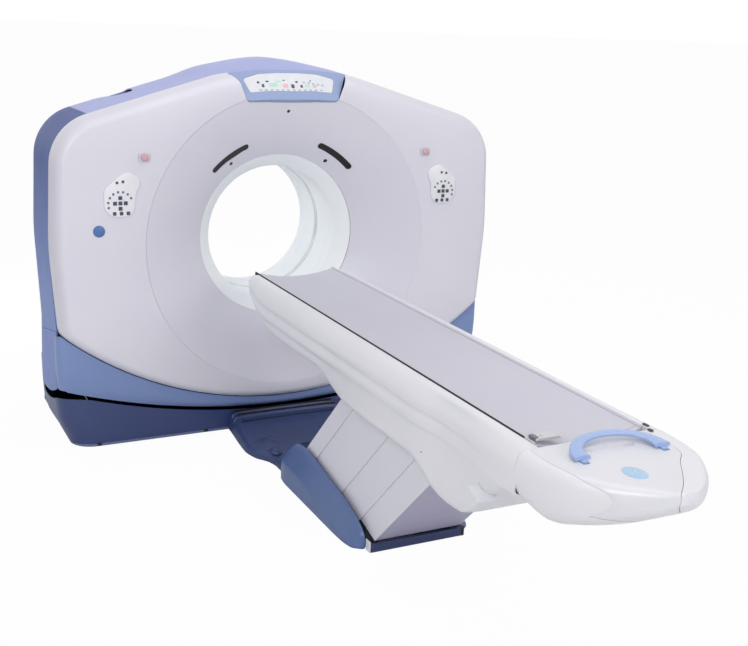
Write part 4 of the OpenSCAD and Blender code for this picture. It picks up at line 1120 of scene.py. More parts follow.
class SCANNER_OT_display(PieceOperator):
    """Build the display's frame, its pale panel and the soft keys and lamps printed on it"""

    bl_idname = "scanner.display"
    bl_label = "Display"

    def build(self, g, t, c):
        place = on_slope(g)
        blue = moulded("display_blue", (0.27, 0.34, 0.55), 0.34, coat=0.1)
        frame = plate("display_bezel", frame_outline(0), -FRAME_THICK, 0, place, blue)
        hole = plate("window_hole", window_outline(0.0004), -PANEL_THICK, 0.01, place, blue)
        cut(frame, hole)
        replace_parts(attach(soften(frame, 0.0025), "gantry"), "display_frame")
        pale = glossy("panel_pale", (0.66, 0.68, 0.72), 0.3, 0.2)
        panel = plate("display_glass", window_outline(0), -PANEL_THICK, 0, place, pale)
        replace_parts(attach(soften(panel, 0.0008), "gantry"), "display_panel")

        def spots(name, where, material, high=0.0007):
            made = []
            for u, v, w, h, r in where:
                shape = tile(u - w, u + w, v - h, v + h, r, 5)
                made.append(plate("spot", shape, -0.0005, high, place, material))
            whole = gathered(name, made, material)
            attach(whole, "gantry")

        ink = glossy("lamp_dark", (0.05, 0.05, 0.09), 0.3, 0.1)
        spots("display_marks", [(-0.165, 0.102, 0.0065, 0.0065, 0.005), (-0.143, 0.084, 0.007, 0.009, 0.003),
                                (-0.118, 0.108, 0.008, 0.004, 0.003), (0.012, 0.082, 0.0085, 0.0105, 0.003),
                                (0.036, 0.106, 0.006, 0.005, 0.003), (0.058, 0.082, 0.006, 0.008, 0.003),
                                (-0.03, 0.115, 0.006, 0.0025, 0.002), (0.11, 0.112, 0.004, 0.003, 0.002)], ink)
        green = glossy("lamp_green", (0.42, 0.68, 0.55), 0.3, 0.1)
        spots("display_green", [(-0.09, 0.09, 0.02, 0.011, 0.004), (0.09, 0.084, 0.014, 0.008, 0.003),
                                (-0.06, 0.108, 0.014, 0.005, 0.002)], green, 0.0004)
        rose = glossy("lamp_rose", (0.72, 0.42, 0.45), 0.3, 0.1)
        spots("display_rose", [(-0.025, 0.084, 0.014, 0.01, 0.004), (0.128, 0.082, 0.01, 0.008, 0.003)], rose, 0.0004)
        grey = glossy("lamp_grey", (0.42, 0.44, 0.52), 0.3, 0.1)
        row = [(-0.16 + 0.029 * k, 0.06, 0.0075, 0.0045, 0.002) for k in range(12)]
        row += [(0.075 + 0.024 * k, 0.104 - 0.004 * k, 0.006, 0.0045, 0.002) for k in range(5)]
        spots("display_keys", row, grey, 0.0009)


PAD_THICK = 0.007
LARGE_KEY = 0.006  # half width from which a membrane key is dark
STOP_BORE = 0.0084
PAD_CORNERS = (
    (-0.074, 0.066, 0.04),
    (-0.076, -0.064, 0.062),
    (0.07, -0.066, 0.056),
    (0.074, 0.04, 0.09),
    (0.108, 0.108, 0.04),
    (0.03, 0.15, 0.05),
)


def pad_middle(side):
    """Middle of a control pad's arrow keys on the face: the box of its centre key."""
    low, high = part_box(("left" if side < 0 else "right") + "_centre_key")
    return (low + high) / 2


class SCANNER_OT_controls(PieceOperator):
    """Build the two control pads with their small membrane keys, and finish the arrow keys"""

    bl_idname = "scanner.controls"
    bl_label = "Control pads"
    key_room: length("Key room", "Half of the opening round an arrow key", 0.0089)
    pitch: length("Key pitch", "Pitch of the arrow keys", 0.025)

    def on_pad(self, g, side):
        centre = pad_middle(side)
        return lambda u, v, h: (centre.x - side * u, -g.half_depth - h, centre.z + v)

    def build(self, g, t, c):
        pads, small, marks = [], [], []
        white = moulded("pad_white", tinted(c.white, (1.1, 1.11, 1.06)), 0.3)
        dark = glossy("key_print", (0.06, 0.065, 0.1), 0.35, 0.1)
        grey = glossy("key_grey", (0.13, 0.135, 0.2), 0.35, 0.1)
        for side in (-1, 1):
            place = self.on_pad(g, side)
            pad = plate("pad", rounded(PAD_CORNERS, 12), 0, PAD_THICK, place, white)
            soften(pad, 0.0028, 4)
            settle(pad)
            holes = []
            k, p = self.key_room, self.pitch
            for u, v in ((0, p), (0, -p), (-p, 0), (p, 0), (0, 0)):
                shape = tile(u - k, u + k, v - k, v + k, 0.002, 3)
                holes.append(plate("key_hole", shape, 0.0015, 0.02, place, white))
            pads.append(cut(pad, *holes, sharp=30))
            row = [(0.032 * i + 0.004, -0.048, 0.0085) for i in (-1, 0, 1)]
            ring = [(0.057 * math.cos(math.radians(a)), 0.057 * math.sin(math.radians(a)) - 0.004, 0.0052)
                    for a in range(28, 200, 24)]
            for u, v, r in row + ring + [(-0.014, 0.096, 0.0062), (0.014, 0.1, 0.0062)]:
                shape = tile(u - r, u + r, v - r, v + r, r * 0.4, 4)
                key = plate("membrane_key", shape, PAD_THICK - 0.0004, PAD_THICK + 0.0009, place, grey)
                (marks if r > LARGE_KEY else small).append(key)
        whole = gathered("pad_plates", pads, white, 30)
        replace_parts(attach(whole, "gantry"), "control_pads")
        for name, parts, material in (("membrane_keys", small, grey), ("dark_membrane_keys", marks, dark)):
            keys = gathered(name, parts, material)
            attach(keys, "gantry")
        cap = glossy("arrow_key", (0.05, 0.055, 0.09), 0.3, 0.15)
        for name, node in FRAME["nodes"].items():
            if name.endswith("_key"):
                paint(node, cap)
                soften(node, 0.0012, 3)


class SCANNER_OT_stops(PieceOperator):
    """Build the plates of the emergency stops and finish their red heads"""

    bl_idname = "scanner.stops"
    bl_label = "Emergency stops"

    def build(self, g, t, c):
        grey = moulded("stop_grey", (0.62, 0.605, 0.67), 0.3)
        plates = []
        for name in ("left", "right"):
            low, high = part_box(name + "_stop_button")
            middle = (low + high) / 2
            thick = -box_low("stop_plates").y - g.half_depth

            def place(u, v, h):
                return (middle.x + u, -g.half_depth - h, middle.z + v)

            shape = tile(-0.028, 0.028, -0.022, 0.022, 0.012, 8)
            base = soften(plate("stop_plate", shape, 0, thick, place, grey), 0.0025, 4)
            settle(base)
            bore = [(STOP_BORE * math.sin(a), STOP_BORE * math.cos(a)) for a in turns(40)]
            hole = plate("stop_bore", bore, -0.01, thick + 0.01, place, grey)
            plates.append(cut(base, hole, sharp=30))
            face = -g.half_depth - thick
            profile = [(0.0175, face + 0.0003), (0.0175, face - 0.0012),
                       (0.0195, face - 0.0012), (0.0195, face + 0.0003)]
            ring = turned("stop_ring", profile, grey, (middle.x, 0, middle.z), steps=64)
            plates.append(ring)
            head = FRAME["nodes"][name + "_stop_button"]
            dress(head, glossy(name + "_stop_red", (0.62, 0.34, 0.38), 0.3, 0.2), 30)
        whole = gathered("stop_bases", plates, grey, 30)
        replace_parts(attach(whole, "gantry"), "stop_plates")


class SCANNER_OT_face_details(PieceOperator):
    """Build the plain badge and the small lenses by the slots"""

    bl_idname = "scanner.face_details"
    bl_label = "Face details"

    def build(self, g, t, c):
        blue = glossy("badge_blue", (0.075, 0.16, 0.38), 0.3, 0.1)

        def disc(name, x, z, r, high, material):
            face = -g.half_depth
            profile = [(ON_AXIS, face + 0.001), (r, face + 0.001), (r, face - high * 0.6),
                       (r * 0.92, face - high), (ON_AXIS, face - high * 1.15)]
            piece = turned(name, profile, material, (x, 0, g.axis_height + z), steps=64)
            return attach(piece, "gantry")

        disc("plain_badge", -0.962, 0.099, 0.028, 0.0025, blue)
        dark = glossy("lens_dark", (0.03, 0.03, 0.045), 0.15, 0.5)
        lenses = []
        for x, z, r in ((-0.268, 0.378, 0.009), (0.245, 0.381, 0.009), (-0.01, 0.644, 0.008)):
            rows = []
            for high, share in ((-0.002, 1), (0.0012, 1), (0.002, 0.7)):
                ring = [(x + r * share * math.cos(a), z + r * share * math.sin(a)) for a in turns(32)]
                rows.append([on_bell(g, u, v, high) for u, v in ring])
            lenses.append(loft("lens", rows, dark))
        whole = gathered("funnel_lenses", lenses, dark)
        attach(whole, "gantry")


# ---------- fixed base, bridge and foot ----------

LIFT = 0.003  # floor gap under the fixed covers
BASE_IN = 0.082  # foot of the base's sides, in from the covers' half width
BASE_FRONT_IN = 0.09  # foot of the base's front, behind the face
BASE_ROUND = 0.11  # radius of the base's corners
FLARE = 0.066  # how far the base's sides lean out toward their top
FLARE_MIN = 0.008  # what is left of the flare at the rear
APRON_HALF_IN = 0.222  # ends of the aprons, in from the covers' half width
BASE_LEVEL = 0.262  # the base's covers rise no higher than this


def base_section(g, x, y, nx):
    """Outer line of the base covers' wall at one plan point, from the floor to the top edge."""
    out = max(FLARE_MIN, FLARE - tuck(y)) * nx * nx
    top = min(base_top(g, min(g.half_width, abs(x) + out), y) - 0.002, BASE_LEVEL)
    mid = top * 0.55
    keys = [0, 1, 2, 3]
    values = [(0, LIFT), (0.12, 0.22 * mid), (0.8, mid), (1, top)]
    return [(s * out, z) for s, z in smooth_rows(keys, values, spaced(0, 3, 21))]


def plan_arc(cx, cy, r, start, end, steps=14):
    turn = [math.radians(a) for a in spaced(start, end, steps)]
    return [(cx + r * math.cos(a), cy + r * math.sin(a), math.cos(a), math.sin(a)) for a in turn]


def plan_line(a, b, normal, steps=40):
    return [(*p, *normal) for p in zip(spaced(a[0], b[0], steps), spaced(a[1], b[1], steps))]


def base_wall(g, name, plan, blue):
    rows = []
    for x, y, nx, ny in plan:
        line = base_section(g, x, y, nx)
        outer = [(x + nx * o, y + ny * o, z) for o, z in line]
        inner = [(x + nx * (o - g.wall), y + ny * (o - g.wall), z) for o, z in line]
        rows.append(outer + inner[::-1])
    return soften(loft(name, rows, blue, sharp=50), 0.0016, 3, 60)


def base_apron(g, y_edge, y_mid, dark):
    half, drop, thick = g.half_width - APRON_HALF_IN, 0.006, 0.003
    rows = []
    for x in spaced(-half, half, 48):
        line = [(y, base_top(g, x, y) - drop) for y in spaced(y_edge, y_mid, 12)]
        rows.append([(x, y, z + thick) for y, z in line] + [(x, y, z) for y, z in reversed(line)])
    return loft("apron", rows, dark)


def base_lid(g, plan, dark):
    """Inner rim that closes the base between its wall and the aprons, near black as painted shade in the gap."""
    rows = []
    for x, y, nx, ny in plan:
        o, z = base_section(g, x, y, nx)[-1]
        o -= g.wall * 0.5
        reach = 0.1 + 0.04 * nx * nx
        u, v = x - nx * reach, y - ny * reach
        low = min(base_top(g, u, v) - 0.007, BASE_LEVEL)
        wall = (x + nx * o, y + ny * o)
        rows.append([(*wall, z - 0.003), (u, v, low), (u, v, low - 0.003), (*wall, z - 0.006)])
    return loft("base_lid", rows, dark)


class SCANNER_OT_base_covers(PieceOperator):
    """Build the covers of the fixed base with their toe strip, vents, aprons and lids, the aprons and lids near black
    as painted shade in the gap
    """

    bl_idname = "scanner.base_covers"
    bl_label = "Base covers"

    def build(self, g, t, c):
        blue = moulded("base_blue", c.deep_blue, 0.36, coat=0.1)
        # Painted shade: aprons and lids are near black for the shade in the gap between the base and the tilting
        # covers.
        dark = matt(moulded("gap_black", (0.009, 0.01, 0.015), 0.9))
        lids = []
        half, r = g.half_width - BASE_IN, BASE_ROUND
        front, back, cx = -g.half_depth + BASE_FRONT_IN, g.half_depth, g.half_width - BASE_IN - BASE_ROUND
        plans = {
            "base_front_cover": plan_arc(-cx, front + r, r, 181, 270)[:-1]
            + plan_line((-cx, front), (cx, front), (0, -1))
            + plan_arc(cx, front + r, r, 270, 359)[1:],
            "base_rear_cover": plan_arc(cx, back - r, r, 1, 90)[:-1]
            + plan_line((cx, back), (-cx, back), (0, 1))
            + plan_arc(-cx, back - r, r, 90, 179)[1:],
        }
        for node, plan in plans.items():
            cover = base_wall(g, node + "_wall", plan, blue)
            rear = node == "base_rear_cover"
            if rear:
                holes = [self.vent(g, x, back, blue) for x in spaced(-0.46, 0.46, 46)]
                settle(cover)
                cut(cover, *holes, sharp=50)
            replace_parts(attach(cover, "base"), node)
            apron = base_apron(g, back - 0.004 if rear else front + 0.004, 0.0005 if rear else -0.0005, dark)
            apron.name = node + "_apron"
            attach(apron, "base")
            lids.append(base_lid(g, plan, dark))
        plan = plan_line((-half, back - r - 0.002), (-half, front + r + 0.002), (-1, 0))
        lids.append(mirrored_piece(base_lid(g, plan, dark)))
        lid = gathered("base_lids", lids, dark)
        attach(lid, "base")
        side = base_wall(g, "base_side_wall", plan, blue)
        settle(side)
        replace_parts(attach(mirrored_piece(side), "base"), "base_side_covers")
        self.toe_strip(g, half, r, front, back, cx)

    def vent(self, g, x, back, blue):
        shape = tile(x - 0.004, x + 0.004, 0.052, 0.108, 0.0039, 4)
        return plate("vent", shape, back - 0.02, back + 0.01, facing, blue)

    def toe_strip(self, g, half, r, front, back, cx):
        grey = moulded("toe_strip", (0.13, 0.16, 0.29), 0.5)
        plan = plan_arc(-cx, front + r, r, 180, 270)[:-1] + plan_line((-cx, front), (cx, front), (0, -1))
        plan += plan_arc(cx, front + r, r, 270, 360)[1:-1] + plan_line((half, front + r), (half, back - r), (1, 0), 12)
        plan += plan_arc(cx, back - r, r, 0, 90)[1:-1] + plan_line((cx, back), (-cx, back), (0, 1))
        plan += plan_arc(-cx, back - r, r, 90, 180)[1:-1]
        plan += plan_line((-half, back - r), (-half, front + r), (-1, 0), 12)[:-1]
        section = [(-0.003, 0.002), (0.0022, 0.002), (0.0022, 0.011), (0.001, 0.014), (-0.003, 0.0145)]
        rows = [[(x + nx * o, y + ny * o, z) for o, z in section] for x, y, nx, ny in plan]
        strip = loft("base_toe_strip", rows, grey, loop=True, sharp=30)
        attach(strip, "base")
        # Small near-black patches on the front of the base, at the floor.
        dark = moulded("base_notch", (0.012, 0.013, 0.02), 0.6)
        notches = []
        for x in (-0.97, -0.421, 0.421, 0.97):
            shape = tile(x - 0.011, x + 0.011, LIFT, 0.018, (0.004, 0, 0, 0.004), 4)
            notches.append(plate("notch", shape, front - 0.0032, front + 0.001, facing, dark))
        whole = gathered("base_jack_notches", notches, dark)
        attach(whole, "base")


BRIDGE = (
    # y, half width, height of the top
    (-0.416, 0.300, 0.097),
    (-0.450, 0.302, 0.106),
    (-0.454, 0.302, 0.095),
    (-0.496, 0.306, 0.103),
    (-0.500, 0.306, 0.090),
    (-0.556, 0.312, 0.088),
    (-0.640, 0.320, 0.076),
    (-0.740, 0.326, 0.062),
    (-0.830, 0.310, 0.058),
    (-0.915, 0.262, 0.052),
    (-0.980, 0.250, 0.050),
    (-1.046, 0.250, 0.050),
)
FOOT = (
    # y, share of the half width, height of the side, height of the top
    (-1.054, 0.72, 0.040, 0.062),
    (-1.075, 0.88, 0.086, 0.104),
    (-1.110, 0.97, 0.098, 0.158),
    (-1.190, 1.00, 0.104, 0.200),
    (-1.290, 1.00, 0.103, 0.211),
    (-1.420, 1.00, 0.092, 0.193),
    (-1.560, 1.00, 0.072, 0.168),
    (-1.690, 1.00, 0.054, 0.145),
    (-1.800, 0.99, 0.036, 0.116),
    (-1.870, 0.95, 0.026, 0.086),
    (-1.905, 0.86, 0.020, 0.056),
)
WELL_HALF = 0.226  # half width of the foot's well for the lift arms


def smooth_line(points, times=2):
    """Cuts the corners of an open line and keeps its ends."""
    for _ in range(times):
        out = [points[0]]
        for a, b in zip(points, points[1:]):
            out += [tuple(p * 0.75 + q * 0.25 for p, q in zip(a, b)), tuple(p * 0.25 + q * 0.75 for p, q in zip(a, b))]
        points = out + [points[-1]]
    return points


def block(low, high, material):
    """A closed box between two corners, as a cutter."""
    ring = [(high[0], low[1]), (low[0], low[1]), (low[0], high[1]), (high[0], high[1])]
    return plate("block", ring, low[2], high[2], lying, material)


class SCANNER_OT_bridge_and_foot(PieceOperator):
    """Build the stepped bridge between gantry and table, the domed foot and its end plinth"""

    bl_idname = "scanner.bridge_and_foot"
    bl_label = "Bridge and foot"

    def bridge(self, c):
        blue = moulded("bridge_blue", tinted(c.deep_blue, (1.0, 1.0, 0.95)), 0.4)
        rows = []
        keys = [-r[0] for r in BRIDGE]
        stations = sorted(keys + spaced(0.51, 1.04, 44))
        tail = [r for r in BRIDGE if r[0] <= -0.5]
        for s in stations:
            if s <= 0.5:
                w, h = next((r[1], r[2]) for r in BRIDGE if -r[0] == s)
            else:
                w, h = smooth_rows([-r[0] for r in tail], [r[1:] for r in tail], [s])[0]
            half = smooth_line([(0, h + 0.0005), (w * 0.5, h), (w - 0.026, h - 0.003), (w - 0.006, h - 0.02),
                                (w - 0.002, h * 0.4), (w, LIFT)])
            rows.append([(x, -s, z) for x, z in open_outline(half)])
        cover = loft("bridge_shell", rows, blue, sharp=28)
        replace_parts(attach(cover, "base"), "bridge_cover")
        rubber = moulded("tread_rubber", (0.012, 0.013, 0.022), 0.55)
        ribs = []
        for y, z, count in ((-0.447, 0.1055, 3), (-0.493, 0.1025, 3), (-0.552, 0.0885, 2)):
            for k in range(count):
                ring = [(y + 0.0095 * k - 0.003, z - 0.004), (y + 0.0095 * k - 0.0025, z + 0.0012),
                        (y + 0.0095 * k + 0.0025, z + 0.0012), (y + 0.0095 * k + 0.003, z - 0.004)]
                ribs.append(plate("rib", ring, -0.272, 0.272, across, rubber))
        whole = gathered("tread_ribs", ribs, rubber)
        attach(whole, "base")
        domes = []
        for x, y, r, high, stretch in ((-0.236, -0.79, 0.05, 0.014, 1.5), (-0.19, -0.73, 0.014, 0.02, 1),
                                       (-0.226, -0.905, 0.03, 0.016, 1.3), (0.236, -0.79, 0.05, 0.014, 1.5),
                                       (0.19, -0.73, 0.014, 0.02, 1), (0.226, -0.905, 0.03, 0.016, 1.3)):
            z = 0.05
            rows = []
            for k in range(9):
                a = math.pi / 2 * k / 8.4
                ring = [(x + r * math.cos(a) * math.cos(b), y + r * stretch * math.cos(a) * math.sin(b),
                         z + high * math.sin(a)) for b in turns(40)]
                rows.append(ring)
            domes.append(loft("dome", rows, blue, sharp=60))
        whole = gathered("bridge_bosses", domes, blue, 60)
        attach(whole, "base")

    def foot(self, c):
        blue = moulded("foot_blue", c.foot_blue, 0.34, coat=0.12)
        hw = box_high("table_foot_cover").x
        keys = [-r[0] for r in FOOT]
        stations = keys[:1] + spaced(keys[0], keys[-1], 100)[1:-1] + keys[-1:]
        rows = []
        for s, (share, side, top) in zip(stations, smooth_rows(keys, [r[1:] for r in FOOT], stations)):
            end = max(0.0, 1 - (keys[-1] - s) / 0.03)
            w = hw * share - 0.01 * end * end
            half = [(0, top + 0.002), (WELL_HALF * 0.5, top + 0.001), (min(WELL_HALF - 0.004, w - 0.034), top),
                    (min(WELL_HALF + 0.014, w - 0.02), top - 0.008), (w - 0.012, side + 0.008), (w, side - 0.012),
                    (w, LIFT + 0.004), (w, LIFT)]
            half = smooth_line(half)
            rows.append([(x, -s, z) for x, z in open_outline(half)])
        cover = loft("foot_shell", rows, blue, sharp=40)
        y0, y1 = FOOT[0][0], FOOT[-1][0]
        holes = [
            block((-WELL_HALF, y1 - 0.06, -0.001), (WELL_HALF, y0 - 0.09, 0.3), blue),
            block((-hw + 0.036, y1 + 0.034, -0.001), (hw - 0.036, y0 - 0.034, 0.018), blue),
            block((-WELL_HALF, y0 - 0.092, -0.001), (WELL_HALF, y0 - 0.032, 0.039), blue),
        ]
        cut(cover, *holes, sharp=40)
        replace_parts(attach(soften(cover, 0.002, 3, 60), "base"), "table_foot_cover")
        dark = moulded("plinth_blue", (0.028, 0.042, 0.115), 0.4)
        end = WELL_HALF - 0.006
        plan = tile(-end, end, y1 - 0.045, y1 - 0.027, (0.004, 0.012, 0.004, 0.002), 6)
        bar = plate("end_plinth", plan, LIFT, 0.04, lying, dark)
        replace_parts(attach(soften(bar, 0.003, 4), "base"), "foot_end_plinth")
        black = moulded("plinth_end_rubber", (0.008, 0.008, 0.012), 0.5)
        plan = tile(end - 0.016, end + 0.0012, y1 - 0.0458, y1 - 0.028, (0.002, 0.01, 0.001, 0.001), 6)
        tip = plate("plinth_end_cap", plan, LIFT, 0.0412, lying, black)
        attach(soften(tip, 0.002, 3), "base")
        pale = moulded("strip_white", c.slat_grey, 0.4)
        plan = tile(-end - 0.006, -end - 0.001, y1 - 0.044, y1 - 0.004, (0.002, 0.003, 0.002, 0.002), 4)
        strip = plate("plinth_edge_strip", plan, LIFT, 0.05, lying, pale)
        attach(soften(strip, 0.0015, 3), "base")

    def build(self, g, t, c):
        self.bridge(c)
        self.foot(c)


# ---------- table ----------

CHANNEL = 0.005  # room beside the cradle
SHELL_OUT = 0.31  # from the middle to well outside the shell, for its cutters
ABOVE = 1.2  # height over all of the table, for its cutters
HINGE_X = 0.15  # middle of each of the handle's lugs, from the middle of the table
SHELL = (
    # y, height of the underside, greatest half width, share of the nose's section, share of the ribs
    (-0.610, 0.786, 0.268, 0, 1),
    (-0.640, 0.769, 0.276, 0, 1),
    (-0.680, 0.743, 0.284, 0, 1),
    (-0.775, 0.690, 0.290, 0, 1),
    (-0.890, 0.656, 0.291, 0, 1),
    (-1.100, 0.648, 0.291, 0, 1),
    (-1.480, 0.648, 0.291, 0, 1),
    (-1.620, 0.610, 0.290, 0, 1),
    (-1.760, 0.580, 0.290, 0, 1),
    (-2.320, 0.574, 0.288, 0, 1),
    (-2.400, 0.540, 0.282, 0, 0.85),
    (-2.460, 0.500, 0.274, 0, 0.7),
    (-2.540, 0.480, 0.268, 0, 0.5),
    (-2.640, 0.486, 0.268, 0, 0.3),
    (-2.720, 0.524, 0.272, 0, 0.15),
    (-2.800, 0.598, 0.279, 0.1, 0),
    (-2.880, 0.644, 0.285, 0.4, 0),
    (-2.950, 0.670, 0.289, 0.7, 0),
)
NOSE = (
    # distance past the cap's edge, height of the underside, half width
    (-0.016, 0.686, 0.284),
    (-0.001, 0.678, 0.291),
    (0.060, 0.665, 0.289),
    (0.110, 0.656, 0.284),
    (0.190, 0.680, 0.264),
    (0.276, 0.714, 0.213),
    (0.336, 0.744, 0.164),
    (0.382, 0.774, 0.112),
    (0.420, 0.804, 0.060),
    (0.440, 0.828, 0.026),
)
CAP_LOW = 0.752
CAP_SEAM = 0.0016
CAP_PLAN = (
    (-0.246, 0.0), (-0.243, 0.107), (-0.235, 0.166), (-0.218, 0.242), (-0.189, 0.300), (-0.158, 0.345),
    (-0.130, 0.500), (-0.040, 0.500), (-0.032, 0.433), (0.024, 0.380), (0.089, 0.297), (0.130, 0.240),
    (0.176, 0.200), (0.190, 0.150), (0.190, 0.0),
)


def mixed(a, b, share):
    return tuple(p + (q - p) * share for p, q in zip(a, b))


def cap_top(t):
    """Top of the table's nose and end cap."""
    return t.deck_height - 0.002


def cradle_top(t):
    return t.deck_height + 0.002


def shell_half(t, low, half, blend, ribs):
    """Outer half section of the shell, from the channel's foot round to near the middle."""
    deck, channel = t.deck_height, t.cradle_half + CHANNEL
    h = deck - low
    k, rib = min(1, h / 0.2), 0.013 * (1 - blend) * ribs
    lip = max(deck - 0.078, low + 0.01)
    side = [
        (channel, deck), (channel + 0.03, deck), (half - 0.02, deck - 0.022 * k), (half - 0.003, deck - 0.058 * k),
        (half - 0.001, deck - 0.084 * k), (half - 0.003 - rib, deck - 0.099 * k), (half - 0.003, deck - 0.114 * k),
        (half - 0.001, deck - 0.142 * k), (half - 0.004 - rib * 0.8, deck - 0.158 * k),
        mixed((half - 0.012, low + min(0.022, h * 0.12)), (half * 0.9, deck - h * 0.84), blend),
        mixed((half - 0.034, low), (half * 0.66, deck - h * 0.98), blend),
        (0.09, low), (0, low - 0.0005),
    ]
    return [(channel, lip), (channel, deck - 0.004)] + smooth_line(side)


class SCANNER_OT_table(PieceOperator):
    """Build the ribbed shell of the table, its nose and the end cap"""

    bl_idname = "scanner.table"
    bl_label = "Table"

    def shell(self, t, white):
        table = [(-r[0], *r[1:]) for r in SHELL] + [(-t.cap_line, 0.678, 0.291, 1, 0)]
        keys = [r[0] for r in table]
        stations = spaced(keys[0], keys[0] + 0.3, 24)[:-1] + spaced(keys[0] + 0.3, 2.25, 40)[:-1]
        stations += spaced(2.25, keys[-1], 60)
        rows = []
        for s, (low, half, blend, ribs) in zip(stations, smooth_rows(keys, [r[1:] for r in table], stations)):
            outer = shell_half(t, low, half, blend, ribs)
            inner = shell_half(t, low + t.wall, half - t.wall, blend, ribs)
            inner = [(max(x, t.cradle_half + CHANNEL + 0.004) if k < 2 else x, min(z, t.deck_height - t.wall))
                     for k, (x, z) in enumerate(inner)]
            line = outer + [(-x, z) for x, z in reversed(outer[:-1])]
            line += [(-x, z) for x, z in inner] + [(x, z) for x, z in reversed(inner[:-1])]
            rows.append([(x, -s, z) for x, z in line])
        shell = loft("table_side_shell", rows, white, sharp=46)
        groove = [(-2.12, 0.6402), (-2.12, 0.6414), (-2.425, 0.6374), (-2.425, 0.6362)]
        slot = rounded([(-2.788, 0.6605, 0.004), (-2.79, 0.6515, 0.004), (-2.866, 0.6255, 0.004),
                        (-2.864, 0.6345, 0.004)], 4)
        holes = []
        for side in (-1, 1):
            for name, outline, depth in (("seam", groove, 0.2805), ("slot", slot, 0.24)):
                low, high = sorted((side * SHELL_OUT, side * depth))
                holes.append(plate(name, outline, low, high, across, white))
        opening = block((-WELL_HALF, -2.466, 0.3), (WELL_HALF, -1.44, 0.7), white)
        return cut(shell, opening, *holes, sharp=46)

    def nose(self, t, white):
        top = cap_top(t)
        keys = [r[0] for r in NOSE]
        stations = spaced(keys[0], keys[-1], 72)
        rows = []
        for s, (low, w) in zip(stations, smooth_rows(keys, [r[1:] for r in NOSE], stations)):
            h, e = top - low, min(0.046, w * 0.5)
            half = [(0, top), (w * 0.3, top), (w - e, top - 0.0004), (w - e * 0.3, top - h * 0.08),
                    (w, top - h * 0.28), (w - 0.002, top - h * 0.58), (w * 0.91, top - h * 0.84),
                    (w * 0.67, top - h * 0.99), (w * 0.3, low), (0, low)]
            half = smooth_line(half, 3)
            rows.append([(x, t.cap_line - s, z) for x, z in closed_outline(half)])
        return loft("table_nose", rows, white, sharp=60)

    def cap_prism(self, t, grow, material):
        line = [(x, -y) for x, y in CAP_PLAN[1:-1]]
        left, right = line[:5], line[7:]
        ring = [(CAP_PLAN[0][0], 0.03)] + smooth_line(left) + [(-0.13, -0.5), (-0.04, -0.5)]
        ring += smooth_line(right) + [(CAP_PLAN[-1][0], 0.03)]
        out = np.array(ring) - normals_of(ring) * grow
        return plate("cap_prism", [tuple(p) for p in out], CAP_LOW - grow, ABOVE,
                     lambda u, v, h: (u, t.cap_line + v, h), material)

    def build(self, g, t, c):
        white = moulded("table_white", c.table_white, 0.34, coat=0.12)
        shell = self.shell(t, white)
        nose = self.nose(t, white)
        hw = t.cradle_half + CHANNEL + 0.006
        cut(nose, self.cap_prism(t, CAP_SEAM, white),
            block((-hw, t.cap_line, CAP_LOW - CAP_SEAM), (hw, t.cap_line + 0.02, ABOVE), white), sharp=46)
        soften(nose, 0.0012, 2, 60)
        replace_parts(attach(shell, "table"), "table_shell")
        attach(nose, "table")
        cap = self.nose(t, moulded("cap_white", tinted(c.table_white, (0.95, 0.945, 0.96)), 0.32, coat=0.2))
        cap.name = "end_cap"
        cut(cap, self.cap_prism(t, 0, white), operation="INTERSECT", sharp=46)
        top = cap_top(t)
        hinge = joint_point("handle_lift")
        scoop_y = hinge.y + 0.074
        scoop = tile(-0.09, 0.09, scoop_y - 0.02, scoop_y + 0.02, 0.0199, 8)
        holes = [block((-0.17, t.cap_line - 0.12, 0.6), (0.16, t.cap_line + 0.1, top - 0.026), white),
                 block((-0.3, t.cap_line + 0.0005, 0.6), (0.3, t.cap_line + 0.1, ABOVE), white),
                 plate("scoop", scoop, top - 0.014, top + 0.02, lying, white)]
        for side in (-1, 1):
            x = side * HINGE_X
            holes.append(block((x - 0.013, hinge.y - 0.016, top - 0.02),
                               (x + 0.013, hinge.y + 0.024, top + 0.02), white))
            holes.append(block((x - 0.0202, hinge.y - 0.0055, hinge.z - 0.0055),
                               (x + 0.0202, hinge.y + 0.0055, hinge.z + 0.0055), white))
        cut(cap, *holes, sharp=46)
        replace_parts(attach(soften(cap, 0.0016, 3, 50), "table"), "table_end_cap")
        self.details(t, c, top)

    def details(self, t, c, top):
        blue = glossy("cap_badge_blue", (0.36, 0.55, 0.74), 0.25, 0.3)
        rows = []
        for share, z in ((1, top - 0.001), (1, top + 0.0012), (0.94, top + 0.002), (0.5, top + 0.0024)):
            rows.append([(-0.06 + 0.033 * share * math.cos(a), -3.289 + 0.045 * share * math.sin(a), z)
                         for a in turns(64)])
        badge = loft("cap_badge", rows, blue, sharp=50)
        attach(badge, "table")
        steel = machined("seam_screw", (0.42, 0.42, 0.46), 0.3, (1, 1, 1))
        screws = []
        for side in (-1, 1):
            profile = [(r, side * x) for r, x in ((ON_AXIS, 0.2838), (0.0034, 0.2838), (0.0034, 0.2852),
                                                  (0.0026, 0.2858), (ON_AXIS, 0.286))]
            screws.append(turned("screw", profile, steel, (0, -2.432, 0.6365), axis="X", steps=32))
        whole = gathered("shell_screws", screws, steel)
        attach(whole, "table")
        dark = moulded("clip_dark", (0.05, 0.05, 0.06), 0.4)
        clips = []
        for x, y, z, lx, ly in ((0.2255, -2.99, t.deck_height + 0.001, 0.005, 0.013),
                                (0.212, -3.03, top + 0.001, 0.006, 0.009)):
            ring = tile(x - lx, x + lx, y - ly, y + ly, 0.002, 4)
            clips.append(soften(plate("clip", ring, z - 0.012, z + 0.004, lying, dark), 0.001))
        whole = gathered("rail_clips", clips, dark)
        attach(whole, "table")


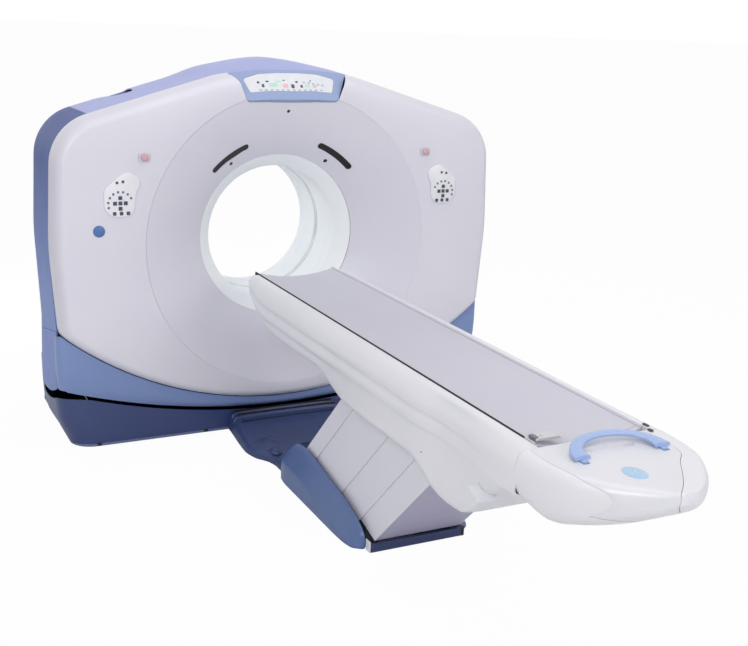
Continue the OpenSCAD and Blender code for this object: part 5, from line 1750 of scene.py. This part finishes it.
class SCANNER_OT_handle(PieceOperator):
    """Build the arched release handle with its hinge lugs, pins and small mark"""

    bl_idname = "scanner.handle"
    bl_label = "Release handle"

    def build(self, g, t, c):
        blue = moulded("handle_blue", c.handle_blue, 0.28, coat=0.3)
        hinge = joint_point("handle_lift")
        top = cap_top(t)
        x0, y0, z0 = HINGE_X, hinge.y + 0.008, top + 0.009
        corner = [(math.cos(a), math.sin(a)) for a in turns(28)]
        section = [(math.copysign(abs(p) ** 0.45, p), 0.5 * math.copysign(abs(q) ** 0.6, q)) for p, q in corner]
        rows = []
        for k in range(73):
            a = math.pi * k / 72
            f = math.sin(a)
            x, y, z = -x0 * math.cos(a), y0 + 0.112 * f**0.85, z0 + 0.016 * f
            wide = 0.017 + 0.012 * (1 - f) ** 2
            n = Vector((-math.cos(a), 1.3 * f)).normalized()
            crown = [(q, v + (0.12 * (1 - q * q) if v > 0 else 0)) for q, v in section]
            rows.append([(x + q * wide * n.x, y + q * wide * n.y, z + v * 0.014) for q, v in crown])
        parts = [loft("strap", rows, blue, sharp=60)]
        for side in (-1, 1):
            radii = (0.003, 0.005, 0.006, 0.003)
            ring = tile(hinge.y - 0.006, hinge.y + 0.016, hinge.z - 0.006, top + 0.006, radii, 5)
            x = side * x0
            parts.append(plate("lug", ring, x - 0.0098, x + 0.0098, across, blue))
            pin = [(ON_AXIS, x - 0.019), (0.0045, x - 0.019), (0.005, x - 0.0185), (0.005, x + 0.0185),
                   (0.0045, x + 0.019), (ON_AXIS, x + 0.019)]
            parts.append(turned("pin", pin, blue, (0, hinge.y, hinge.z), axis="X", steps=40))
        whole = gathered("handle_strap", parts, blue, 50)
        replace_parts(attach(whole, "handle"), "release_handle")
        dark = glossy("handle_mark", (0.16, 0.22, 0.42), 0.3, 0.2)
        profile = [(ON_AXIS, z0), (0.0042, z0), (0.0042, z0 + 0.0082), (0.0036, z0 + 0.0088), (ON_AXIS, z0 + 0.0089)]
        dot = turned("handle_dot", profile, dark, (-x0 + 0.002, y0 + 0.006, 0), axis="Z", steps=32)
        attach(dot, "handle")


class SCANNER_OT_cradle(PieceOperator):
    """Build the hollow cradle, a dark strip of painted shade along its left edge, its thin padded mat and the latch
    plate
    """

    bl_idname = "scanner.cradle"
    bl_label = "Cradle"
    mat: length("Mat", "Thickness of the mat", 0.007)

    def trough(self, t, drop):
        w, dip = t.cradle_half - 0.008, t.cradle_dip
        radius = (w * w + dip * dip) / (2 * dip)
        top = cradle_top(t)
        return lambda x: top - dip - drop + radius - math.sqrt(radius * radius - x * x)

    def build(self, g, t, c):
        top, floor, hw = cradle_top(t), t.deck_height - 0.074, t.cradle_half
        low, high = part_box("cradle")
        grey = moulded("cradle_grey", c.cradle_grey, 0.36)
        inner = self.trough(t, self.mat)
        line = [(x, min(inner(x), top - 0.001)) for x in spaced(-hw + 0.009, hw - 0.009, 40)]
        under = [(hw, top - 0.03), (hw - 0.03, floor + 0.0004), (hw - 0.06, floor + 0.0004),
                 (hw - 0.072, floor + 0.014)]
        ring = [(-hw, top), (-hw + 0.008, top)] + line + [(hw - 0.008, top), (hw, top)]
        ring += under + [(-x, z) for x, z in reversed(under)]
        tray = plate("cradle_tray", ring, low.y, high.y, facing, grey)
        relief = [(t.tip - 0.05, floor - 0.001), (t.tip + 0.061, floor - 0.001), (t.tip + 0.061, floor + 0.024),
                  (t.tip - 0.05, floor + 0.0002)]
        cut(tray, plate("relief", relief, -hw - 0.01, hw + 0.01, across, grey), sharp=34)
        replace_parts(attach(soften(tray, 0.0024, 3, 40), "cradle_body"), "cradle")
        # Painted shade: a dark strip along the cradle's left edge stands for the shadow in the gap beside it.
        black = matt(moulded("edge_strip_dark", (0.08, 0.066, 0.07), 0.8))
        section = [(-hw - 0.0012, top - 0.02), (-hw - 0.0012, top + 0.0006), (-hw + 0.0025, top + 0.0012),
                   (-hw + 0.0025, top - 0.002)]
        strip = plate("cradle_edge_strip", section, low.y + 0.05, high.y, facing, black)
        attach(strip, "cradle_body")
        low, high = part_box("cradle_mat")
        half, upper, lower = t.cradle_half - 0.0102, self.trough(t, 0), self.trough(t, self.mat - 0.0003)
        rows = []
        stations = spaced(0, 1, 12)[:-1] + spaced(1, 11, 60)[:-1] + spaced(11, 12, 12)
        for s in stations:
            end = min(s, 12 - s, 1)
            plump = 1 - (1 - end) ** 4
            y = low.y + (high.y - low.y) * s / 12
            ups, downs = [], []
            for x in spaced(-half, half, 64):
                edge = min(1.0, (half - abs(x)) / 0.014)
                swell = plump * (1 - (1 - edge) ** 3)
                z0, z1 = lower(x), upper(x)
                groove = 0.0012 * math.exp(-(((abs(x) - half + 0.02) / 0.0016) ** 2))
                ups.append((x, y, z0 + (z1 - z0) * (0.42 + 0.58 * swell) - groove * plump))
                downs.append((x, y, z0))
            rows.append(ups + downs[::-1])
        mat = loft("mat_pad", rows, vinyl("mat_vinyl", c.cradle_grey), sharp=60)
        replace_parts(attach(mat, "cradle_body"), "cradle_mat")
        self.latch()

    def latch(self):
        low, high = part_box("cradle_latch")
        pale = moulded("latch_pale", (0.56, 0.56, 0.58), 0.3, coat=0.3)
        x0, x1, z0 = low.x, high.x, low.z
        ring = rounded([(x0, z0, 0), (x0, z0 + 0.005, 0.0015), (x0 + 0.008, z0 + 0.009, 0.003),
                        (x1 - 0.008, z0 + 0.009, 0.003), (x1, z0 + 0.005, 0.0015), (x1, z0, 0)], 4)
        cover = plate("latch_plate", ring, low.y, high.y, facing, pale)
        hole = tile(x0 + 0.022, x0 + 0.034, low.y + 0.012, high.y - 0.012, 0.004, 5)
        cut(cover, plate("hole", hole, z0 + 0.0065, z0 + 0.02, lying, pale), sharp=34)
        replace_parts(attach(soften(cover, 0.0012), "cradle_body"), "cradle_latch")
        dark = moulded("latch_clip", (0.16, 0.16, 0.18), 0.4)
        ring = tile(x0 - 0.003, x0 + 0.014, low.y + 0.006, high.y - 0.006, 0.002, 4)
        clip = plate("latch_clip", ring, z0, z0 + 0.0105, lying, dark)
        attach(soften(clip, 0.001), "cradle_body")


class SCANNER_OT_mechanism(PieceOperator):
    """Finish the slats, frames, bearings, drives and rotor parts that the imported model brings"""

    bl_idname = "scanner.mechanism"
    bl_label = "Mechanism"

    def build(self, g, t, c):
        finishes = {
            "steel_paint": lambda n: painted(n, (0.045, 0.052, 0.07)),
            "bright_steel": lambda n: machined(n, (0.6, 0.61, 0.63)),
            "gear_unit": lambda n: painted(n, (0.2, 0.22, 0.25)),
            "alloy": lambda n: cast(n, (0.5, 0.52, 0.56)),
            "tube_housing": lambda n: painted(n, (0.42, 0.44, 0.46)),
            "detector_black": lambda n: moulded(n, (0.025, 0.026, 0.03), 0.5),
            "ring_copper": lambda n: machined(n, (0.72, 0.36, 0.2), 0.3),
            "slat_white": lambda n: moulded(n, c.slat_grey, 0.42),
            "panel_violet": lambda n: moulded(n, (0.44, 0.42, 0.555), 0.45),
            "rail_alloy": lambda n: cast(n, (0.4, 0.42, 0.46), 0.42),
        }
        made = {}
        for part in FRAME["record"]["subparts"]:
            name = part["material_slot"]
            node = FRAME["nodes"][part["node"]]
            if node.hide_render or name not in finishes:
                continue
            if name not in made:
                made[name] = finishes[name](name)
            paint(node, made[name])
            if part["node"].startswith(("slat", "pedestal", "gantry_base", "table_base", "tilt_upright")):
                soften(node, 0.0009, 2, 50)


# ---------- stage ----------

CAMERA_AT = (-2.0859, -5.6031, 2.1012)
CAMERA_TURN = (26.7286, 15.3677, 2.1749)  # yaw, pitch and roll, in degrees
CAMERA_LENS = 53.38
PICTURE = (748, 646)
FLOOR_GLOW = 0.965  # share of plain white in the floor, as the camera sees it
WORLD_LIGHT = 0.42
LAMPS = (
    # name, place, target, size, power
    ("key", (-4.6, -6.2, 4.6), (0, -1.2, 0.9), (3.4, 2.6), 190),
    ("front_fill", (2.6, -7.0, 3.0), (0, -1, 0.9), (3.5, 2.5), 90),
    ("top", (0.2, -1.6, 5.4), (0, -1.4, 0), (4, 5), 78),
    ("rear_rim", (2.5, 4.5, 4.0), (0, 0, 1), (3, 2), 45),
    ("bore_glow", (-1.5, 3.2, 1.9), (0.2, 0, 1), (1.4, 1.4), 45),
)
BEHIND = ("rear_rim", "bore_glow")  # lamps that would glare in the covers' reflections


class SCANNER_OT_stage(bpy.types.Operator):
    """Set up the pale floor, the soft lights, the world and the camera"""

    bl_idname = "scanner.stage"
    bl_label = "Stage"
    bl_options = {"REGISTER", "UNDO"}
    exposure: FloatProperty(name="Light", description="Power of the soft lights", default=1.0, min=0.1, max=4)

    def lamp(self, name, place, target, size, power):
        light = bpy.data.lights.new(name, "AREA")
        light.shape = "RECTANGLE"
        light.size, light.size_y = size
        light.energy = power * self.exposure
        lamp = bpy.data.objects.new(name, light)
        lamp.location = place
        lamp.rotation_euler = (Vector(target) - Vector(place)).to_track_quat("-Z", "Y").to_euler()
        bpy.context.scene.collection.objects.link(lamp)
        lamp.visible_camera = False
        lamp.visible_glossy = name not in BEHIND
        lamp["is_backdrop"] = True

    def floor(self):
        f = Finish("studio_floor")
        path = f.tree.nodes.new("ShaderNodeLightPath")
        seen = Socket(f, path.outputs["Is Camera Ray"])
        clouds = f.noise(0.35, 2).between(0.3, 0.7)
        f.set(Base_Color=f.mix(clouds, (0.82, 0.82, 0.83), (0.84, 0.84, 0.84)), Roughness=0.7 + clouds * 0.05)
        glow = f.tree.nodes.new("ShaderNodeEmission")
        glow.inputs["Color"].default_value = (1, 1, 1, 1)
        both = f.tree.nodes.new("ShaderNodeMixShader")
        f.give(both.inputs[0], seen * FLOOR_GLOW)
        f.tree.links.new(f.shader.outputs[0], both.inputs[1])
        f.tree.links.new(glow.outputs[0], both.inputs[2])
        f.tree.links.new(both.outputs[0], f.out.inputs["Surface"])
        size, cells = 160.0, 12
        verts = [(-size + 2 * size * i / cells, -size + 2 * size * j / cells, -0.0005)
                 for j in range(cells + 1) for i in range(cells + 1)]
        n = cells + 1
        faces = [(j * n + i, j * n + i + 1, (j + 1) * n + i + 1, (j + 1) * n + i)
                 for j in range(cells) for i in range(cells)]
        add("studio_floor", verts, faces, f.material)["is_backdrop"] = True

    def world(self):
        world = bpy.data.worlds.new("studio")
        bpy.context.scene.world = world
        world.use_nodes = True
        tree = world.node_tree
        tree.nodes.clear()
        path = tree.nodes.new("ShaderNodeLightPath")
        seen = path.outputs["Is Camera Ray"]
        for name in ("Is Glossy Ray", "Is Transmission Ray"):
            most = tree.nodes.new("ShaderNodeMath")
            most.operation = "MAXIMUM"
            tree.links.new(seen, most.inputs[0])
            tree.links.new(path.outputs[name], most.inputs[1])
            seen = most.outputs[0]
        white, soft = (tree.nodes.new("ShaderNodeBackground") for _ in range(2))
        white.inputs["Color"].default_value = (1, 1, 1, 1)
        soft.inputs["Color"].default_value = (0.97, 0.98, 1, 1)
        soft.inputs["Strength"].default_value = WORLD_LIGHT
        both = tree.nodes.new("ShaderNodeMixShader")
        out = tree.nodes.new("ShaderNodeOutputWorld")
        tree.links.new(seen, both.inputs[0])
        tree.links.new(soft.outputs[0], both.inputs[1])
        tree.links.new(white.outputs[0], both.inputs[2])
        tree.links.new(both.outputs[0], out.inputs["Surface"])

    def camera(self):
        place = Vector(CAMERA_AT)
        yaw, pitch, roll = (math.radians(a) for a in CAMERA_TURN)
        ahead = Vector((math.sin(yaw) * math.cos(pitch), math.cos(yaw) * math.cos(pitch), -math.sin(pitch)))
        level = Vector((math.cos(yaw), -math.sin(yaw), 0))
        up = level.cross(ahead)
        right = math.cos(roll) * level + math.sin(roll) * up
        above = -math.sin(roll) * level + math.cos(roll) * up
        camera = bpy.data.cameras.new("camera")
        camera.lens, camera.sensor_width = CAMERA_LENS, 36
        eye = bpy.data.objects.new("camera", camera)
        turn = Matrix((right, above, -ahead)).transposed()
        eye.matrix_world = Matrix.Translation(place) @ turn.to_4x4()
        scene = bpy.context.scene
        scene.collection.objects.link(eye)
        scene.camera = eye
        scene.render.resolution_x, scene.render.resolution_y = PICTURE

    def execute(self, context):
        self.floor()
        self.world()
        self.camera()
        for lamp in LAMPS:
            self.lamp(*lamp)
        context.scene.view_settings.view_transform = "Standard"
        return {"FINISHED"}


# ---------- add-on ----------

PIECES = (
    SCANNER_OT_front_cover,
    SCANNER_OT_rear_cover,
    SCANNER_OT_lower_cover,
    SCANNER_OT_side_covers,
    SCANNER_OT_top_cover,
    SCANNER_OT_bore,
    SCANNER_OT_display,
    SCANNER_OT_controls,
    SCANNER_OT_stops,
    SCANNER_OT_face_details,
    SCANNER_OT_base_covers,
    SCANNER_OT_bridge_and_foot,
    SCANNER_OT_table,
    SCANNER_OT_handle,
    SCANNER_OT_cradle,
    SCANNER_OT_mechanism,
    SCANNER_OT_stage,
)


class SCANNER_PT_panel(bpy.types.Panel):
    """Lists the scanner's pieces and sizes."""

    bl_label = "Scanner"
    bl_idname = "SCANNER_PT_panel"
    bl_space_type = "VIEW_3D"
    bl_region_type = "UI"
    bl_category = "Scanner"

    def draw(self, context):
        layout = self.layout
        for operator in PIECES:
            layout.operator(operator.bl_idname)
        for group in (context.scene.scanner_gantry, context.scene.scanner_table, context.scene.scanner_colours):
            box = layout.box()
            for key in group.__annotations__:
                box.prop(group, key)


CLASSES = (GantrySizes, TableSizes, ScannerColours, *PIECES, SCANNER_PT_panel)


def register():
    for cls in CLASSES:
        bpy.utils.register_class(cls)
    bpy.types.Scene.scanner_gantry = PointerProperty(type=GantrySizes)
    bpy.types.Scene.scanner_table = PointerProperty(type=TableSizes)
    bpy.types.Scene.scanner_colours = PointerProperty(type=ScannerColours)


def unregister():
    del bpy.types.Scene.scanner_colours
    del bpy.types.Scene.scanner_table
    del bpy.types.Scene.scanner_gantry
    for cls in reversed(CLASSES):
        bpy.utils.unregister_class(cls)


def corners(box):
    return [[round(float(v), 5) for v in corner] for corner in box]


def main():
    register()
    for operator in PIECES:
        family, name = operator.bl_idname.split(".")
        getattr(getattr(bpy.ops, family), name)()
    {"cad_box": corners(CAD_BOX), "scene_box": corners(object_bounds())}


if __name__ == "__main__":
    main()
